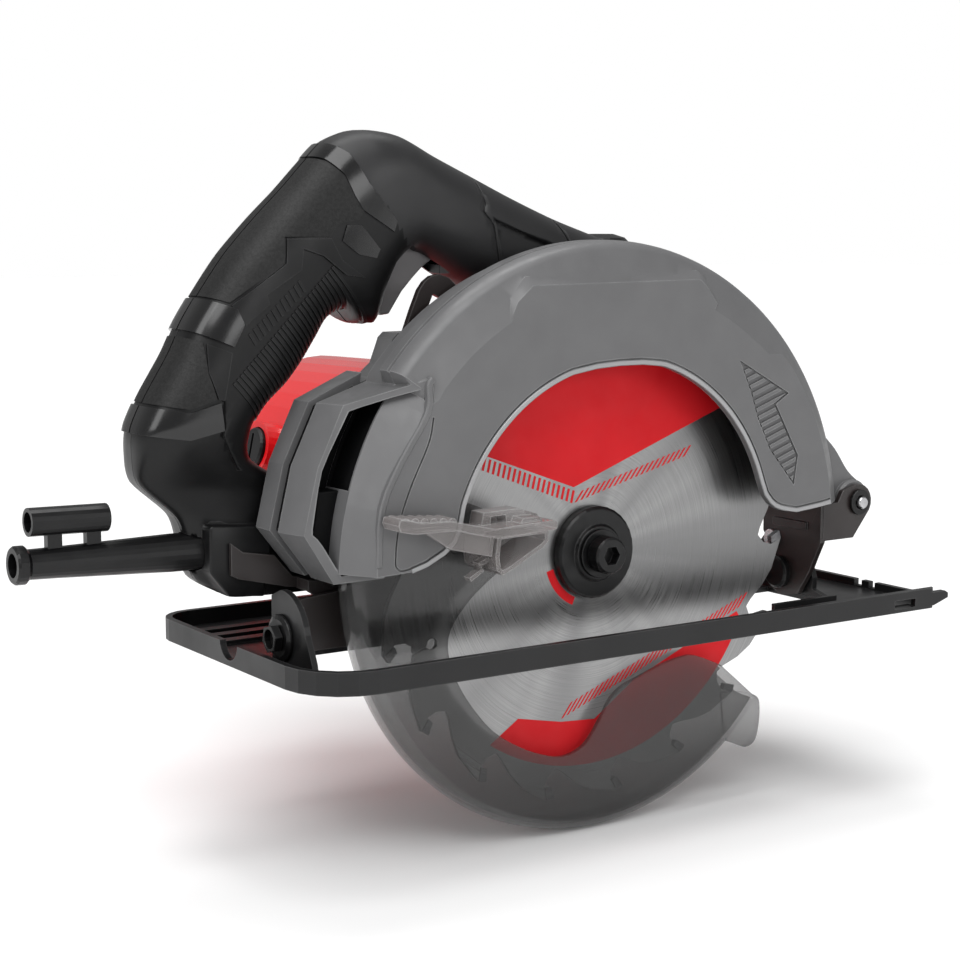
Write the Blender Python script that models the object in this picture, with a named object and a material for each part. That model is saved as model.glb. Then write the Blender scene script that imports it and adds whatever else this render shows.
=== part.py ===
"""A corded 184 mm circular saw, built as separate pieces.

Lengths are in millimetres in the saw's own frame: the origin is the arbor's centre in the middle of
the blade, +X points forward along the cut, +Y towards the motor and +Z up. place() turns that into
world metres, with the world origin on the underside of the shoe, below the motor side.
"""

import math

import bmesh
import bpy
from mathutils import Vector

MM = 0.001

# Driving dimensions.
ARBOR_HEIGHT = 29.5
ORIGIN_Y = 50.0
BLADE_RADIUS = 92.0
BLADE_THICKNESS = 1.8
TOOTH_COUNT = 18
FIRST_TOOTH = 197.8
ARBOR_BORE = 8.3
GUARD_FACE_Y = -17.0
GUARD_RIM_RADIUS = 112.0
GUARD_DRUM_RADIUS = 108.5
GUARD_CAVITY_RADIUS = 105.5
GUARD_CAVITY_BACK = 10.0
GUARD_BACK_Y = 12.5
LOWER_RADIUS = 102.3
LOWER_NEAR_Y = -6.4
LOWER_BACK_Y = 7.5
PIVOT_X, PIVOT_Z = 121.3, 9.6
BEVEL_Y, BEVEL_Z = 10.0, -19.3
SOLE_BOTTOM, SOLE_TOP, RAIL_TOP = -29.5, -27.5, -21.7
SHOE_REAR, SHOE_FRONT, SHOE_RIGHT, SHOE_LEFT = -134.7, 137.0, -40.0, 82.0
ARC_Y0, ARC_Y1 = 13.8, 16.2
ARC_OUTER, ARC_SLOT, ARC_INNER = 203.8, 195.2, 187.8
LOCK_ANGLE = 186.0
LOCK_Y, LOCK_Z = 14.5, -6.5
LOCK_REACH = 13.57
MOTOR_X, MOTOR_Z = -21.5, 19.5
MOTOR_RADIUS = 44.0
MOTOR_Y0, MOTOR_Y1 = 31.0, 165.0
SEAM_Y = 38.0
WALL = 3.0
GAP = 0.3
GEAR_TEETH, PINION_TEETH = 44, 11
BRUSH_ANGLE = 168.0
BRUSH_Y = 124.0


def place(x, y, z):
    return Vector((x * MM, (y - ORIGIN_Y) * MM, (z + ARBOR_HEIGHT) * MM))


def clear_scene():
    for item in list(bpy.data.objects):
        bpy.data.objects.remove(item)


# Materials.

def material(name, colour, roughness, metallic=0.0, alpha=1.0):
    made = bpy.data.materials.new(name)
    made.use_nodes = True
    shader = made.node_tree.nodes["Principled BSDF"]
    shader.inputs["Base Color"].default_value = (*colour, 1.0)
    shader.inputs["Roughness"].default_value = roughness
    shader.inputs["Metallic"].default_value = metallic
    shader.inputs["Alpha"].default_value = alpha
    return made


# Geometry helpers.

def polar(radius, degrees, cx=0.0, cz=0.0):
    angle = math.radians(degrees)
    return cx + radius * math.cos(angle), cz + radius * math.sin(angle)


def arc(radius, start, end, count, cx=0.0, cz=0.0):
    step = (end - start) / (count - 1)
    return [polar(radius, start + step * i, cx, cz) for i in range(count)]


def loft(name, rings, finish, loop=False, pivot=(0.0, 0.0, 0.0)):
    """A closed solid through rings of points. loop joins the last ring to the first."""
    base = place(*pivot)
    bm = bmesh.new()
    rows = [[bm.verts.new(place(*point) - base) for point in ring] for ring in rings]
    count = len(rows[0])
    pairs = list(zip(rows, rows[1:]))
    if loop:
        pairs.append((rows[-1], rows[0]))
    for low, high in pairs:
        for i in range(count):
            j = (i + 1) % count
            bm.faces.new((low[i], low[j], high[j], high[i]))
    if not loop:
        bm.faces.new(rows[0])
        bm.faces.new(rows[-1])
    bmesh.ops.recalc_face_normals(bm, faces=bm.faces)
    mesh = bpy.data.meshes.new(name)
    bm.to_mesh(mesh)
    bm.free()
    mesh.shade_smooth()
    mesh.set_sharp_from_angle(angle=math.radians(35))
    item = bpy.data.objects.new(name, mesh)
    item.location = base
    bpy.context.collection.objects.link(item)
    if finish is not None:
        mesh.materials.append(finish)
    return item


def along_y(name, outline, y0, y1, finish=None, pivot=(0.0, 0.0, 0.0)):
    return loft(name, [[(x, y, z) for x, z in outline] for y in (y0, y1)], finish, pivot=pivot)


def along_x(name, outline, x0, x1, finish=None, pivot=(0.0, 0.0, 0.0)):
    return loft(name, [[(x, y, z) for y, z in outline] for x in (x0, x1)], finish, pivot=pivot)


def along_z(name, outline, z0, z1, finish=None, pivot=(0.0, 0.0, 0.0)):
    return loft(name, [[(x, y, z) for x, y in outline] for z in (z0, z1)], finish, pivot=pivot)


def box(name, low, high, finish=None):
    outline = [(low[0], low[1]), (high[0], low[1]), (high[0], high[1]), (low[0], high[1])]
    return along_z(name, outline, low[2], high[2], finish)


def disc(name, cx, cz, radius, y0, y1, finish=None, count=32, pivot=(0.0, 0.0, 0.0)):
    ring = [polar(radius, 360.0 * i / count, cx, cz) for i in range(count)]
    return along_y(name, ring, y0, y1, finish, pivot)


def turned(name, profile, cx, cz, finish, count=32, pivot=(0.0, 0.0, 0.0)):
    """A ring about an axis along Y. profile is a closed outline of (radius, y)."""
    rings = []
    for i in range(count):
        turn = 360.0 * i / count
        rings.append([(*polar(r, turn, cx, cz), y) for r, y in profile])
    rings = [[(x, y, z) for x, z, y in ring] for ring in rings]
    return loft(name, rings, finish, loop=True, pivot=pivot)


def stepped(name, steps, start, direction, finish, count=20, pivot=(0.0, 0.0, 0.0)):
    """A solid of round sections. steps are (distance along direction, radius)."""
    way = Vector(direction).normalized()
    side = way.orthogonal().normalized()
    other = way.cross(side)
    rings = []
    for distance, radius in steps:
        centre = Vector(start) + way * distance
        ring = []
        for i in range(count):
            turn = 2.0 * math.pi * i / count
            ring.append(centre + side * (radius * math.cos(turn)) + other * (radius * math.sin(turn)))
        rings.append(ring)
    return loft(name, rings, finish, pivot=pivot)


def combine(item, tool, operation):
    change = item.modifiers.new(operation.lower(), "BOOLEAN")
    change.operation = operation
    change.solver = "EXACT"
    change.object = tool
    tool.hide_render = True
    tool.display_type = "WIRE"
    return item


def cut(item, *tools):
    for tool in tools:
        combine(item, tool, "DIFFERENCE")
    return item


def fuse(item, *tools):
    for tool in tools:
        combine(item, tool, "UNION")
    return item


def rod_y(name, cx, cz, radius, y0, y1, count=16):
    return disc(name, cx, cz, radius, y0, y1, None, count)


def rod_x(name, cy, cz, radius, x0, x1, count=16):
    ring = [polar(radius, 360.0 * i / count, cy, cz) for i in range(count)]
    return along_x(name, ring, x0, x1)


def inset(outline, distance):
    """The outline moved inwards by distance, for an outline that runs clockwise or anticlockwise."""
    count = len(outline)
    area = sum(outline[i - 1][0] * outline[i][1] - outline[i][0] * outline[i - 1][1] for i in range(count))
    sign = 1.0 if area > 0 else -1.0
    moved = []
    for i in range(count):
        here = Vector(outline[i])
        before = (here - Vector(outline[i - 1])).normalized()
        after = (Vector(outline[(i + 1) % count]) - here).normalized()
        normal = Vector((-before.y - after.y, before.x + after.x)).normalized() * sign
        stretch = max(0.4, normal.dot(Vector((-before.y, before.x)) * sign))
        moved.append(tuple(here + normal * (distance / stretch)))
    return moved


# Blade and spindle.

def tooth_points(tip):
    """One tooth's outline, from its carbide tip down the face, round the gullet and up the back."""
    steps = ((0.0, BLADE_RADIUS), (-1.4, 87.0), (-0.8, 83.2), (1.3, 80.2), (3.4, 81.2), (8.1, 85.5), (12.4, 88.7))
    return [polar(radius, tip + turn) for turn, radius in steps]


def slot_points(angle):
    """An expansion slot that runs in from a gullet to a round hole."""
    hole_radius, hole_at, half_width = 2.2, 73.0, 0.45
    cx, cz = polar(hole_at, angle)
    neck = math.degrees(math.asin(half_width / hole_radius))
    across = math.degrees(half_width / 80.0)
    points = [polar(80.9, angle - across)]
    points += arc(hole_radius, angle - neck, angle + neck - 360.0, 9, cx, cz)
    points.append(polar(80.9, angle + across))
    return points


def make_blade(finish):
    outline = []
    for k in range(TOOTH_COUNT):
        tip = FIRST_TOOTH + 20.0 * k
        points = tooth_points(tip)
        if k % 6 == 0:
            outline += points[:4] + slot_points(tip + 3.0) + points[5:]
        else:
            outline += points
    half = BLADE_THICKNESS / 2
    item = along_y("blade", outline, -half, half, finish)
    return cut(item, rod_y("blade_bore", 0, 0, ARBOR_BORE, -3, 3, 24))


def make_spindle(finish):
    item = stepped("spindle", ((0, 7.9), (27.3, 7.9), (27.3, 5.0), (36.2, 5.0)), (0, -0.6, 0), (0, 1, 0), finish, 24)
    return cut(item, rod_y("spindle_thread", 0, 0, 4.3, -2, 14))


def gear_outline(teeth, pitch_radius, addendum, dedendum, phase):
    """Straight-flanked teeth, thinner than half the pitch so that the pair runs with backlash."""
    pitch = 360.0 / teeth
    root_half, tip_half = 0.26 * pitch, 0.10 * pitch
    points = []
    for k in range(teeth):
        middle = phase + pitch * k
        for radius, turn in (
            (pitch_radius - dedendum, -root_half),
            (pitch_radius + addendum, -tip_half),
            (pitch_radius + addendum, tip_half),
            (pitch_radius - dedendum, root_half),
        ):
            points.append(polar(radius, middle + turn))
    return points


def gear_centres():
    distance = math.hypot(MOTOR_X, MOTOR_Z)
    module = distance / (0.5 * (GEAR_TEETH + PINION_TEETH))
    toward = math.degrees(math.atan2(MOTOR_Z, MOTOR_X))
    return module, toward


def make_gear(finish):
    module, toward = gear_centres()
    outline = gear_outline(GEAR_TEETH, 0.5 * GEAR_TEETH * module, 0.7 * module, 1.1 * module, toward)
    item = along_y("spindle_gear", outline, 20.0, 26.3, finish)
    return cut(item, rod_y("gear_bore", 0, 0, 8.2, 18, 28, 24))


def make_pinion(finish):
    module, toward = gear_centres()
    phase = toward + 180.0 + 180.0 / PINION_TEETH
    teeth = gear_outline(PINION_TEETH, 0.5 * PINION_TEETH * module, 0.7 * module, 1.1 * module, phase)
    outline = [(x + MOTOR_X, z + MOTOR_Z) for x, z in teeth]
    return along_y("armature_pinion", outline, 19.6, 26.6, finish, pivot=(MOTOR_X, 0, MOTOR_Z))


def make_clamping_set(black, steel):
    inner = turned("inner_flange", [(8.2, 1.2), (15.0, 1.2), (15.0, 3.4), (11.0, 4.6), (8.2, 4.6)], 0, 0, steel, 24)
    outer = turned("outer_flange", [(4.5, -1.2), (16.8, -1.2), (16.8, -3.9), (15.8, -4.9), (10.5, -4.9),
                                    (9.8, -6.2), (4.5, -6.2)], 0, 0, black, 30)
    washer = turned("bolt_washer", [(4.5, -6.5), (8.8, -6.5), (8.8, -7.3), (4.5, -7.3)], 0, 0, steel, 28)
    bolt = stepped("blade_bolt", ((0, 5.9), (0.6, 6.7), (5.7, 6.7), (5.7, 3.9), (24.0, 3.9)),
                   (0, -13.4, 0), (0, 1, 0), black, 24)
    socket = along_y("bolt_socket", arc(3.6, 0, 300, 6), -15.0, -9.5)
    return inner, outer, washer, cut(bolt, socket)


# Guards.

FACE_RADII = ((6.0, 104.0), (15, 104.0), (24, 104.0), (33, 104.0), (41, 104.0), (43.5, 103.0), (45, 100.4),
              (52, 99.7), (58, 99.7), (63, 99.7), (66, 102.2), (69.5, 104.6), (78, 100.2), (90, 98.0),
              (102, 100.2), (110.5, 104.6), (114, 105.2), (117, 100.5), (120, 101.2), (128, 101.5),
              (136, 101.5), (142, 101.0), (150, 100.0), (158, 99.5), (166, 99.5), (174, 99.5), (178.3, 99.5))


def guard_ring(y, radius, duct_radius):
    """The casing's outline at one depth: full radius round the top, a smaller one inside the duct."""
    ring = []
    for angle, _ in FACE_RADII:
        chosen = duct_radius if angle >= 142 else radius
        ring.append((*polar(chosen, angle), y))
    return [(x, y, z) for x, z, y in ring]


def guard_shell(finish):
    face = [(*polar(radius, angle), GUARD_FACE_Y) for angle, radius in FACE_RADII]
    rings = [[(x, y, z) for x, z, y in face]]
    rings.append(guard_ring(-12.5, 109.5, 105.5))
    rings.append(guard_ring(-8.0, GUARD_RIM_RADIUS, 107.8))
    rings.append(guard_ring(1.0, GUARD_RIM_RADIUS, 107.8))
    rings.append(guard_ring(1.6, GUARD_DRUM_RADIUS, 107.8))
    rings.append(guard_ring(GUARD_BACK_Y, GUARD_DRUM_RADIUS, 107.8))
    return loft("upper_guard", rings, finish)


DUCT_FLARE = 3.2
DUCT_RIM = ((-78.0, -17.0, 67.5), (-102.0, 0.0, 58.5), (-112.0, 0.0, 38.0), (-117.3, 0.0, 16.0),
            (-108.0, -3.0, -0.6), (-97.0, -17.0, 2.6), (-93.5, -17.0, 22.0), (-87.0, -17.0, 36.0),
            (-76.0, -17.0, 53.0))


def duct_outline(flare=0.0):
    """The duct's outline, with its rear side moved back by flare."""
    return [(x - flare if x < -100.0 and z > 10.0 else x, z) for x, _, z in DUCT_RIM]


def make_duct():
    back = [(x, GUARD_BACK_Y, z) for x, z in duct_outline(DUCT_FLARE)]
    outer = loft("duct_outside", [list(DUCT_RIM), back], None)
    inner = inset(duct_outline(), 2.6)
    mouth = [(x, y - 4.0, z) for (x, z), (_, y, _) in zip(inner, DUCT_RIM)]
    room = [(x, GUARD_BACK_Y - 2.6, z) for x, z in inset(duct_outline(0.9 * DUCT_FLARE), 2.6)]
    hollow = loft("duct_hollow", [mouth, room], None)
    return cut(outer, hollow)


def window_outline():
    points = [(-104.0, -12.0), (-86.0, 2.9), (-73.0, 8.0), (-66.5, 14.0)]
    points += arc(69.0, 161, 107, 8)
    points += [(18.0, 67.0)]
    points += arc(70.0, 73, 25, 8)
    points += [(67.0, 20.5), (71.5, 13.6), (77.0, 10.6), (85.0, 9.0), (85.0, -12.0)]
    return points


def make_upper_guard(finish):
    item = guard_shell(finish)
    fuse(item, make_duct())
    cavity = loft("guard_cavity", [[(x, y, z) for x, z in arc(r, 0, 354, 60)]
                                   for r, y in ((96.0, -14.5), (GUARD_CAVITY_RADIUS, -9.5),
                                                (GUARD_CAVITY_RADIUS, GUARD_CAVITY_BACK))], None)
    back_lobe = disc("guard_back_lobe", 0, 0, 25.0, 9.8, GUARD_BACK_Y, None, 36)
    arm = along_y("pivot_arm", [(96, 47), (105, 38), (113, 30.5), (120, 21.5), (127, 16), (125, 6), (115, 6),
                                (107, 12), (97, 12)], -7.8, 7.0)
    boss = rod_y("pivot_boss", PIVOT_X, PIVOT_Z, 8.4, -10.0, 17.6, 24)
    chip_way = along_y("chip_way", [polar(100, 143), polar(112, 141), polar(112, 152), polar(100, 151)], -7, 8)
    cut(item, cavity)
    fuse(item, back_lobe, arm, boss)
    cut(item, along_y("guard_window", window_outline(), -19.0, -11.0))
    cut(item, rod_y("guard_nose_hole", 0, 0, 17.1, 8, 14, 32), chip_way)
    cut(item, rod_y("pivot_hole", PIVOT_X, PIVOT_Z, 2.8, -12, 20))
    return item


LOWER_INNER = ((158, 38), (165, 38), (173, 38), (180, 41), (186, 49), (192, 59), (199, 68.6), (207, 72),
               (215, 73.2), (223, 74), (232, 75), (241, 75), (250, 75), (258, 74.4), (265, 70), (271, 61),
               (276, 54.5), (283, 51.5), (292, 51.5), (299, 52.4), (306, 54.5), (312, 58), (316, 62), (319, 71),
               (320, 76))


def lower_ring(angle, inner):
    outer = LOWER_RADIUS
    profile = ((inner, LOWER_NEAR_Y), (outer - 4.3, LOWER_NEAR_Y), (outer - 2.7, -5.6), (outer - 0.5, -3.0),
               (outer, 0.5), (outer - 0.5, 4.5), (outer - 1.9, LOWER_BACK_Y), (22.0, LOWER_BACK_Y), (22.0, 5.7),
               (outer - 3.4, 5.7), (outer - 2.1, 2.4), (outer - 2.1, -2.4), (outer - 4.4, -4.6), (inner, -4.6))
    ring = []
    for radius, y in profile:
        x, z = polar(radius, angle)
        ring.append((x, y, z))
    return ring


def make_lower_guard(finish):
    item = loft("lower_guard", [lower_ring(angle, inner) for angle, inner in LOWER_INNER], finish)
    hub = turned("lower_guard_hub", [(17.4, 5.7), (26.0, 5.7), (26.0, 7.5), (17.4, 7.5)], 0, 0, None, 36)
    lip = along_y("lower_guard_lip", [(60, -60), (76.5, -63.4), (78.0, -66), (77.0, -80), (71, -82.5), (62, -79)],
                  -6.2, -3.4)
    return fuse(item, hub, lip)


def make_guard_lever(finish):
    root = along_y("guard_lever", [(-60, 17), (-58, 4.5), (-50, -1.5), (-37, 6), (-32, 14), (-34, 17)],
                   -17.5, LOWER_NEAR_Y - GAP, finish)
    bridge = box("lever_bridge", (-59.5, -19.6, 15.2), (-34.5, -12.0, 19.6))
    pad = along_y("lever_pad", [(-96, 17), (-95, 22), (-75, 22.6), (-55, 21.5), (-33, 18.4), (-32, 15.6),
                                (-60, 15.6), (-80, 16.2)], -29.0, -18.3)
    return fuse(root, bridge, pad)


def make_return_spring(finish):
    """A flat torsion spring wound about the gear housing's nose."""
    rings = []
    turns, steps, wire, sides = 1.6, 36, 0.5, 4
    for i in range(steps + 1):
        turn = 2.0 * math.pi * turns * i / steps
        radius = 18.2 + 1.5 * turns * i / steps
        ring = []
        for k in range(sides):
            around = 2.0 * math.pi * k / sides
            reach = radius + wire * math.cos(around)
            ring.append((reach * math.cos(turn), 8.75 + wire * math.sin(around), reach * math.sin(turn)))
        rings.append(ring)
    return loft("guard_return_spring", rings, finish)


# Gear housing and motor.

SCREW_ANGLES = (30, 140, 185, 250)
SCREW_REACH = 37.5


def make_gear_housing(finish):
    item = disc("gear_housing", MOTOR_X, MOTOR_Z, MOTOR_RADIUS, 24.5, 30.7, finish, 40)
    case = disc("gear_case", 0, 0, 26.2, 17.0, 26.0, None, 40)
    seat = disc("guard_seat", 0, 0, 23.0, 12.8, 18.0, None, 36)
    top = disc("gear_case_top", MOTOR_X, MOTOR_Z, 13.0, 17.0, 26.0, None, 24)
    lock_boss = box("spindle_lock_boss", (14.0, 17.2, 13.6), (33.6, 30.4, 26.4))
    lug_x, lug_z = polar(ARC_SLOT, LOCK_ANGLE, PIVOT_X, PIVOT_Z)
    lug_outline = arc(8.0, 110, 280, 9, lug_x, lug_z) + [(-46.0, -18.0), (-36.0, -6.0), (-50.0, 5.0)]
    lug = along_y("depth_lock_lug", lug_outline, 22.8, 28.0)
    nose = disc("gear_nose", 0, 0, 16.5, 5.2, 18.0, None, 36)
    neck = along_y("gear_neck", [(-28, 50), (34, 44), (30, 89.7), (-28, 89.7)], 17.0, 30.5)
    band_out = [(min(x, -85.0), z) for x, z in duct_outline(1.2 * DUCT_FLARE)[:6]]
    band = along_y("duct_band", band_out, 17.0, 27.0)
    crest = along_y("duct_band_crest", [(-105.0, 57.6), (-81.2, 65.7), (-76.0, 69.9), (-72.6, 78.6), (-70.6, 80.4),
                                        (-62.0, 80.4), (-62.0, 62.0), (-85.0, 60.0)], 17.0, 27.0)
    web = along_y("duct_web", [(-96.5, 10), (-89.5, 46), (-50, 46), (-50, 10)], 24.6, 30.3)
    handle_pad = box("front_handle_pad", (26.0, 24.7, 47.5), (47.0, 58.0, 57.6))
    fuse(item, case, top, seat, lock_boss, lug, nose, neck, band, crest, web, handle_pad)
    cut(item, rod_y("lock_bolt_way", lug_x, lug_z, 2.7, 20, 30))
    cut(item, along_y("duct_band_hollow", inset(band_out, 2.6), 14.0, 33.0))
    cut(item, rod_y("bearing_seat", 0, 0, 13.3, 4.0, 16.6, 32), rod_y("spindle_way", 0, 0, 9.0, 14, 20, 24))
    cut(item, rod_y("gear_room", 0, 0, 24.4, 19.2, 33, 36), rod_y("pinion_room", MOTOR_X, MOTOR_Z, 8.0, 18.8, 33, 24))
    cut(item, rod_y("shaft_bearing_seat", MOTOR_X, MOTOR_Z, 9.9, 27.0, 33, 28))
    for k, angle in enumerate(SCREW_ANGLES):
        x, z = polar(SCREW_REACH, angle, MOTOR_X, MOTOR_Z)
        cut(item, rod_y("screw_way_%d" % k, x, z, 2.3, 23, 33, 12))
    return cut(item, box("lock_way", (22.0, 20.6, 17.6), (44.0, 24.4, 22.4)))


def make_housing_screws(finish):
    for k, angle in enumerate(SCREW_ANGLES):
        x, z = polar(SCREW_REACH, angle, MOTOR_X, MOTOR_Z)
        stepped("housing_screw_%d" % (k + 1), ((0, 3.4), (0.6, 4.0), (3.0, 4.0), (3.0, 2.0), (20.0, 2.0)),
                (x, 21.2, z), (0, 1, 0), finish, 12)


def make_motor_housing(finish):
    outer, inner = MOTOR_RADIUS, MOTOR_RADIUS - WALL
    end = MOTOR_Y1
    profile = [(inner, MOTOR_Y0), (outer, MOTOR_Y0), (outer, 100.0), (outer - 1.2, end - 6.0), (outer - 2.8, end - 2.0),
               (outer - 5.6, end), (inner - 5.0, end), (inner - 1.4, end - 5.0), (inner - 0.2, 100.0)]
    item = turned("motor_housing", profile, MOTOR_X, MOTOR_Z, finish, 40)
    for k, angle in enumerate(SCREW_ANGLES):
        x, z = polar(SCREW_REACH, angle, MOTOR_X, MOTOR_Z)
        fuse(item, rod_y("screw_boss_%d" % k, x, z, 4.6, MOTOR_Y0, 46))
        cut(item, rod_y("boss_way_%d" % k, x, z, 2.3, 29, 43, 12))
    for k, angle in enumerate((BRUSH_ANGLE, BRUSH_ANGLE - 180.0)):
        way = Vector((math.cos(math.radians(angle)), 0, math.sin(math.radians(angle))))
        start = Vector((MOTOR_X, BRUSH_Y, MOTOR_Z)) + way * 38.0
        boss = stepped("brush_boss_%d" % k, ((3.6, 10.6), (12.6, 10.6)), start, way, None, 24)
        hole = stepped("brush_way_%d" % k, ((-2.0, 8.4), (15.0, 8.4)), start, way, None, 24)
        fuse(item, boss)
        cut(item, hole)
    return item


def make_end_cap(finish):
    y = MOTOR_Y1 + 0.4
    item = turned("motor_end_cap", [(5.2, y), (38.0, y), (37.0, y + 3.2), (32.0, y + 5.6), (5.2, y + 5.6)],
                  MOTOR_X, MOTOR_Z, finish, 32)
    for k in range(8):
        angle = 22.5 + 45.0 * k
        outline = [polar(15, angle - 8, MOTOR_X, MOTOR_Z), polar(29, angle - 5, MOTOR_X, MOTOR_Z),
                   polar(29, angle + 5, MOTOR_X, MOTOR_Z), polar(15, angle + 8, MOTOR_X, MOTOR_Z)]
        cut(item, along_y("end_vent_%d" % k, outline, y - 2.0, y + 8.0))
    return item


def make_bearings(finish):
    def bearing(name, cx, cz, inner, outer, y0, y1):
        return turned(name, [(inner, y0), (outer, y0), (outer, y1), (inner, y1)], cx, cz, finish, 20)

    bearing("spindle_bearing_front", 0, 0, 8.2, 13.0, 7.0, 15.8)
    bearing("armature_bearing_front", MOTOR_X, MOTOR_Z, 4.3, 9.6, 27.4, 33.0)
    bearing("armature_bearing_rear", MOTOR_X, MOTOR_Z, 4.3, 10.0, MOTOR_Y1 - 8.0, MOTOR_Y1 - 2.0)


def make_stator(steel, copper):
    turned("stator_core", [(26.0, 62.0), (40.6, 62.0), (40.6, 104.0), (26.0, 104.0)], MOTOR_X, MOTOR_Z, steel, 28)
    for name, y0, y1 in (("field_winding_front", 55.0, 61.6), ("field_winding_rear", 104.4, 111.0)):
        turned(name, [(26.5, y0 + 1.5), (28.0, y0), (34.0, y0), (36.0, y0 + 1.5), (36.0, y1 - 1.5), (34.0, y1),
                      (28.0, y1), (26.5, y1 - 1.5)], MOTOR_X, MOTOR_Z, copper, 18)


def make_armature(steel, copper, plastic):
    pivot = (MOTOR_X, 0, MOTOR_Z)
    stepped("armature_shaft", ((0, 4.0), (MOTOR_Y1 - 24.0, 4.0)), (MOTOR_X, 27.0, MOTOR_Z), (0, 1, 0), steel, 20, pivot)
    outline = []
    for k in range(12):
        middle = 30.0 * k
        for radius, turn in ((24.6, -11.0), (24.6, 11.0), (19.0, 13.0), (19.0, 17.0)):
            outline.append(polar(radius, middle + turn, MOTOR_X, MOTOR_Z))
    core = along_y("armature_core", outline, 62.0, 104.0, steel, pivot)
    cut(core, rod_y("core_bore", MOTOR_X, MOTOR_Z, 4.3, 60, 106, 20))
    turned("commutator", [(4.3, 114.0), (12.0, 114.0), (12.0, 116.0), (11.0, 117.0), (11.0, 132.0), (4.3, 132.0)],
           MOTOR_X, MOTOR_Z, copper, 20, pivot)
    fan = turned("cooling_fan", [(4.3, 40.0), (32.2, 40.0), (32.2, 42.0), (9.0, 42.0), (9.0, 49.0), (4.3, 49.0)],
                 MOTOR_X, MOTOR_Z, plastic, 24, pivot)
    for k in range(9):
        angle = 40.0 * k
        outline = [polar(8, angle, MOTOR_X, MOTOR_Z), polar(31.4, angle + 8, MOTOR_X, MOTOR_Z),
                   polar(31.4, angle + 11, MOTOR_X, MOTOR_Z), polar(8, angle + 8, MOTOR_X, MOTOR_Z)]
        fuse(fan, along_y("fan_blade_%d" % k, outline, 41.2, 49.5))


def make_brushes(carbon, black):
    for k, angle in enumerate((BRUSH_ANGLE, BRUSH_ANGLE - 180.0)):
        way = Vector((math.cos(math.radians(angle)), 0, math.sin(math.radians(angle))))
        start = Vector((MOTOR_X, BRUSH_Y, MOTOR_Z))
        brush = stepped("brush_%d" % (k + 1), ((11.5, 4.6), (30.0, 4.6)), start, way, carbon, 4)
        brush.data.shade_flat()
        cap = stepped("brush_cap_%d" % (k + 1), ((41.0, 8.0), (51.6, 8.0), (52.6, 7.2)), start, way, black, 28)
        tip = start + way * 52.6
        slot = box("brush_cap_slot_%d" % k, (tip.x - 2.0, BRUSH_Y - 0.8, tip.z - 5.5),
                   (tip.x + 2.0, BRUSH_Y + 0.8, tip.z + 5.5))
        cut(cap, slot)


# Handle.

HANDLE_SECTIONS = (
    # rear or upper point, front or lower point, right half-width, left half-width
    ((-127, -9), (-57.5, -9), 6.6, 20),
    ((-139.5, -1.6), (-62, -1), 7.0, 22),
    ((-142.5, 10), (-66.3, 11), 7.0, 23),
    ((-146, 20), (-66.6, 22), 7.0, 23),
    ((-159.0, 32), (-96, 27), 7.0, 21),
    ((-161, 42), (-119, 38), 12.5, 18),
    ((-160.4, 51), (-120, 49), 16.0, 17),
    ((-155.3, 61.5), (-115, 57), 16.5, 16.5),
    ((-147.0, 74.7), (-107, 64), 16.5, 16.5),
    ((-141.5, 85.4), (-101, 71), 16.5, 16.5),
    ((-134.2, 96.2), (-95.5, 79), 16.5, 16.5),
    ((-125.3, 107.9), (-91, 85.5), 16.5, 16.5),
    ((-114.2, 119.5), (-84, 88.5), 16.5, 16.5),
    ((-104, 129.2), (-79, 84.2), 16.0, 16.0),
    ((-95, 138.4), (-71.5, 82.6), 16.0, 16.0),
    ((-86.9, 145.8), (-68.0, 90.5), 16.5, 16.5),
    ((-75.5, 149.9), (-62, 103), 17.5, 17.5),
    ((-62.3, 148.6), (-55, 107.5), 18.5, 18.5),
    ((-48.8, 142.2), (-46, 103.5), 19.0, 19.0),
    ((-34.8, 136.1), (-36, 97.5), 19.0, 19.0),
    ((-15.9, 127.8), (-22, 92.0), 19.0, 19.0),
    ((3.2, 120.0), (0, 90.0), 19.0, 19.0),
    ((22, 113.6), (20.5, 90.0), 19.0, 19.0),
)
SECTION_POINTS = 8


def half_section(top, bottom, width, side, shrink):
    """Points down one side of the handle, from its seam at the back round to its seam at the front."""
    a, b = Vector(top), Vector(bottom)
    middle = (a + b) / 2
    reach = (a - b).length / 2 - shrink
    way = (a - b).normalized()
    points = []
    for i in range(SECTION_POINTS + 1):
        turn = math.pi * i / SECTION_POINTS
        power = 0.72
        along = math.copysign(abs(math.cos(turn)) ** power, math.cos(turn)) * reach
        out = abs(math.sin(turn)) ** power * (width - shrink)
        spot = middle + way * along
        points.append((spot.x, SEAM_Y + side * (out + GAP / 2), spot.y))
    return points


def make_handle_half(name, side, finish):
    rings = []
    for top, bottom, right, left in HANDLE_SECTIONS:
        width = right if side < 0 else left
        outer = half_section(top, bottom, width, side, 0.0)
        inner = half_section(top, bottom, width, side, WALL)
        rings.append(outer + inner[::-1])
    item = loft(name, rings, finish)
    cut(item, box("trigger_way_" + name, (-84.0, SEAM_Y - 7.0, 80.0), (-40.0, SEAM_Y + 7.0, 114.0)))
    if side < 0:
        gland = along_y("cord_gland", [(-138.2, 17.6), (-138.2, 1.5), (-131.5, -7.0), (-118.0, -8.4), (-114.0, 15.6)],
                        27.3, SEAM_Y - GAP / 2)
        fuse(item, gland)
    cut(item, rod_x("cord_way_" + name, SEAM_Y, 7.8, 6.9, -156, -126, 20))
    return item


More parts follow.
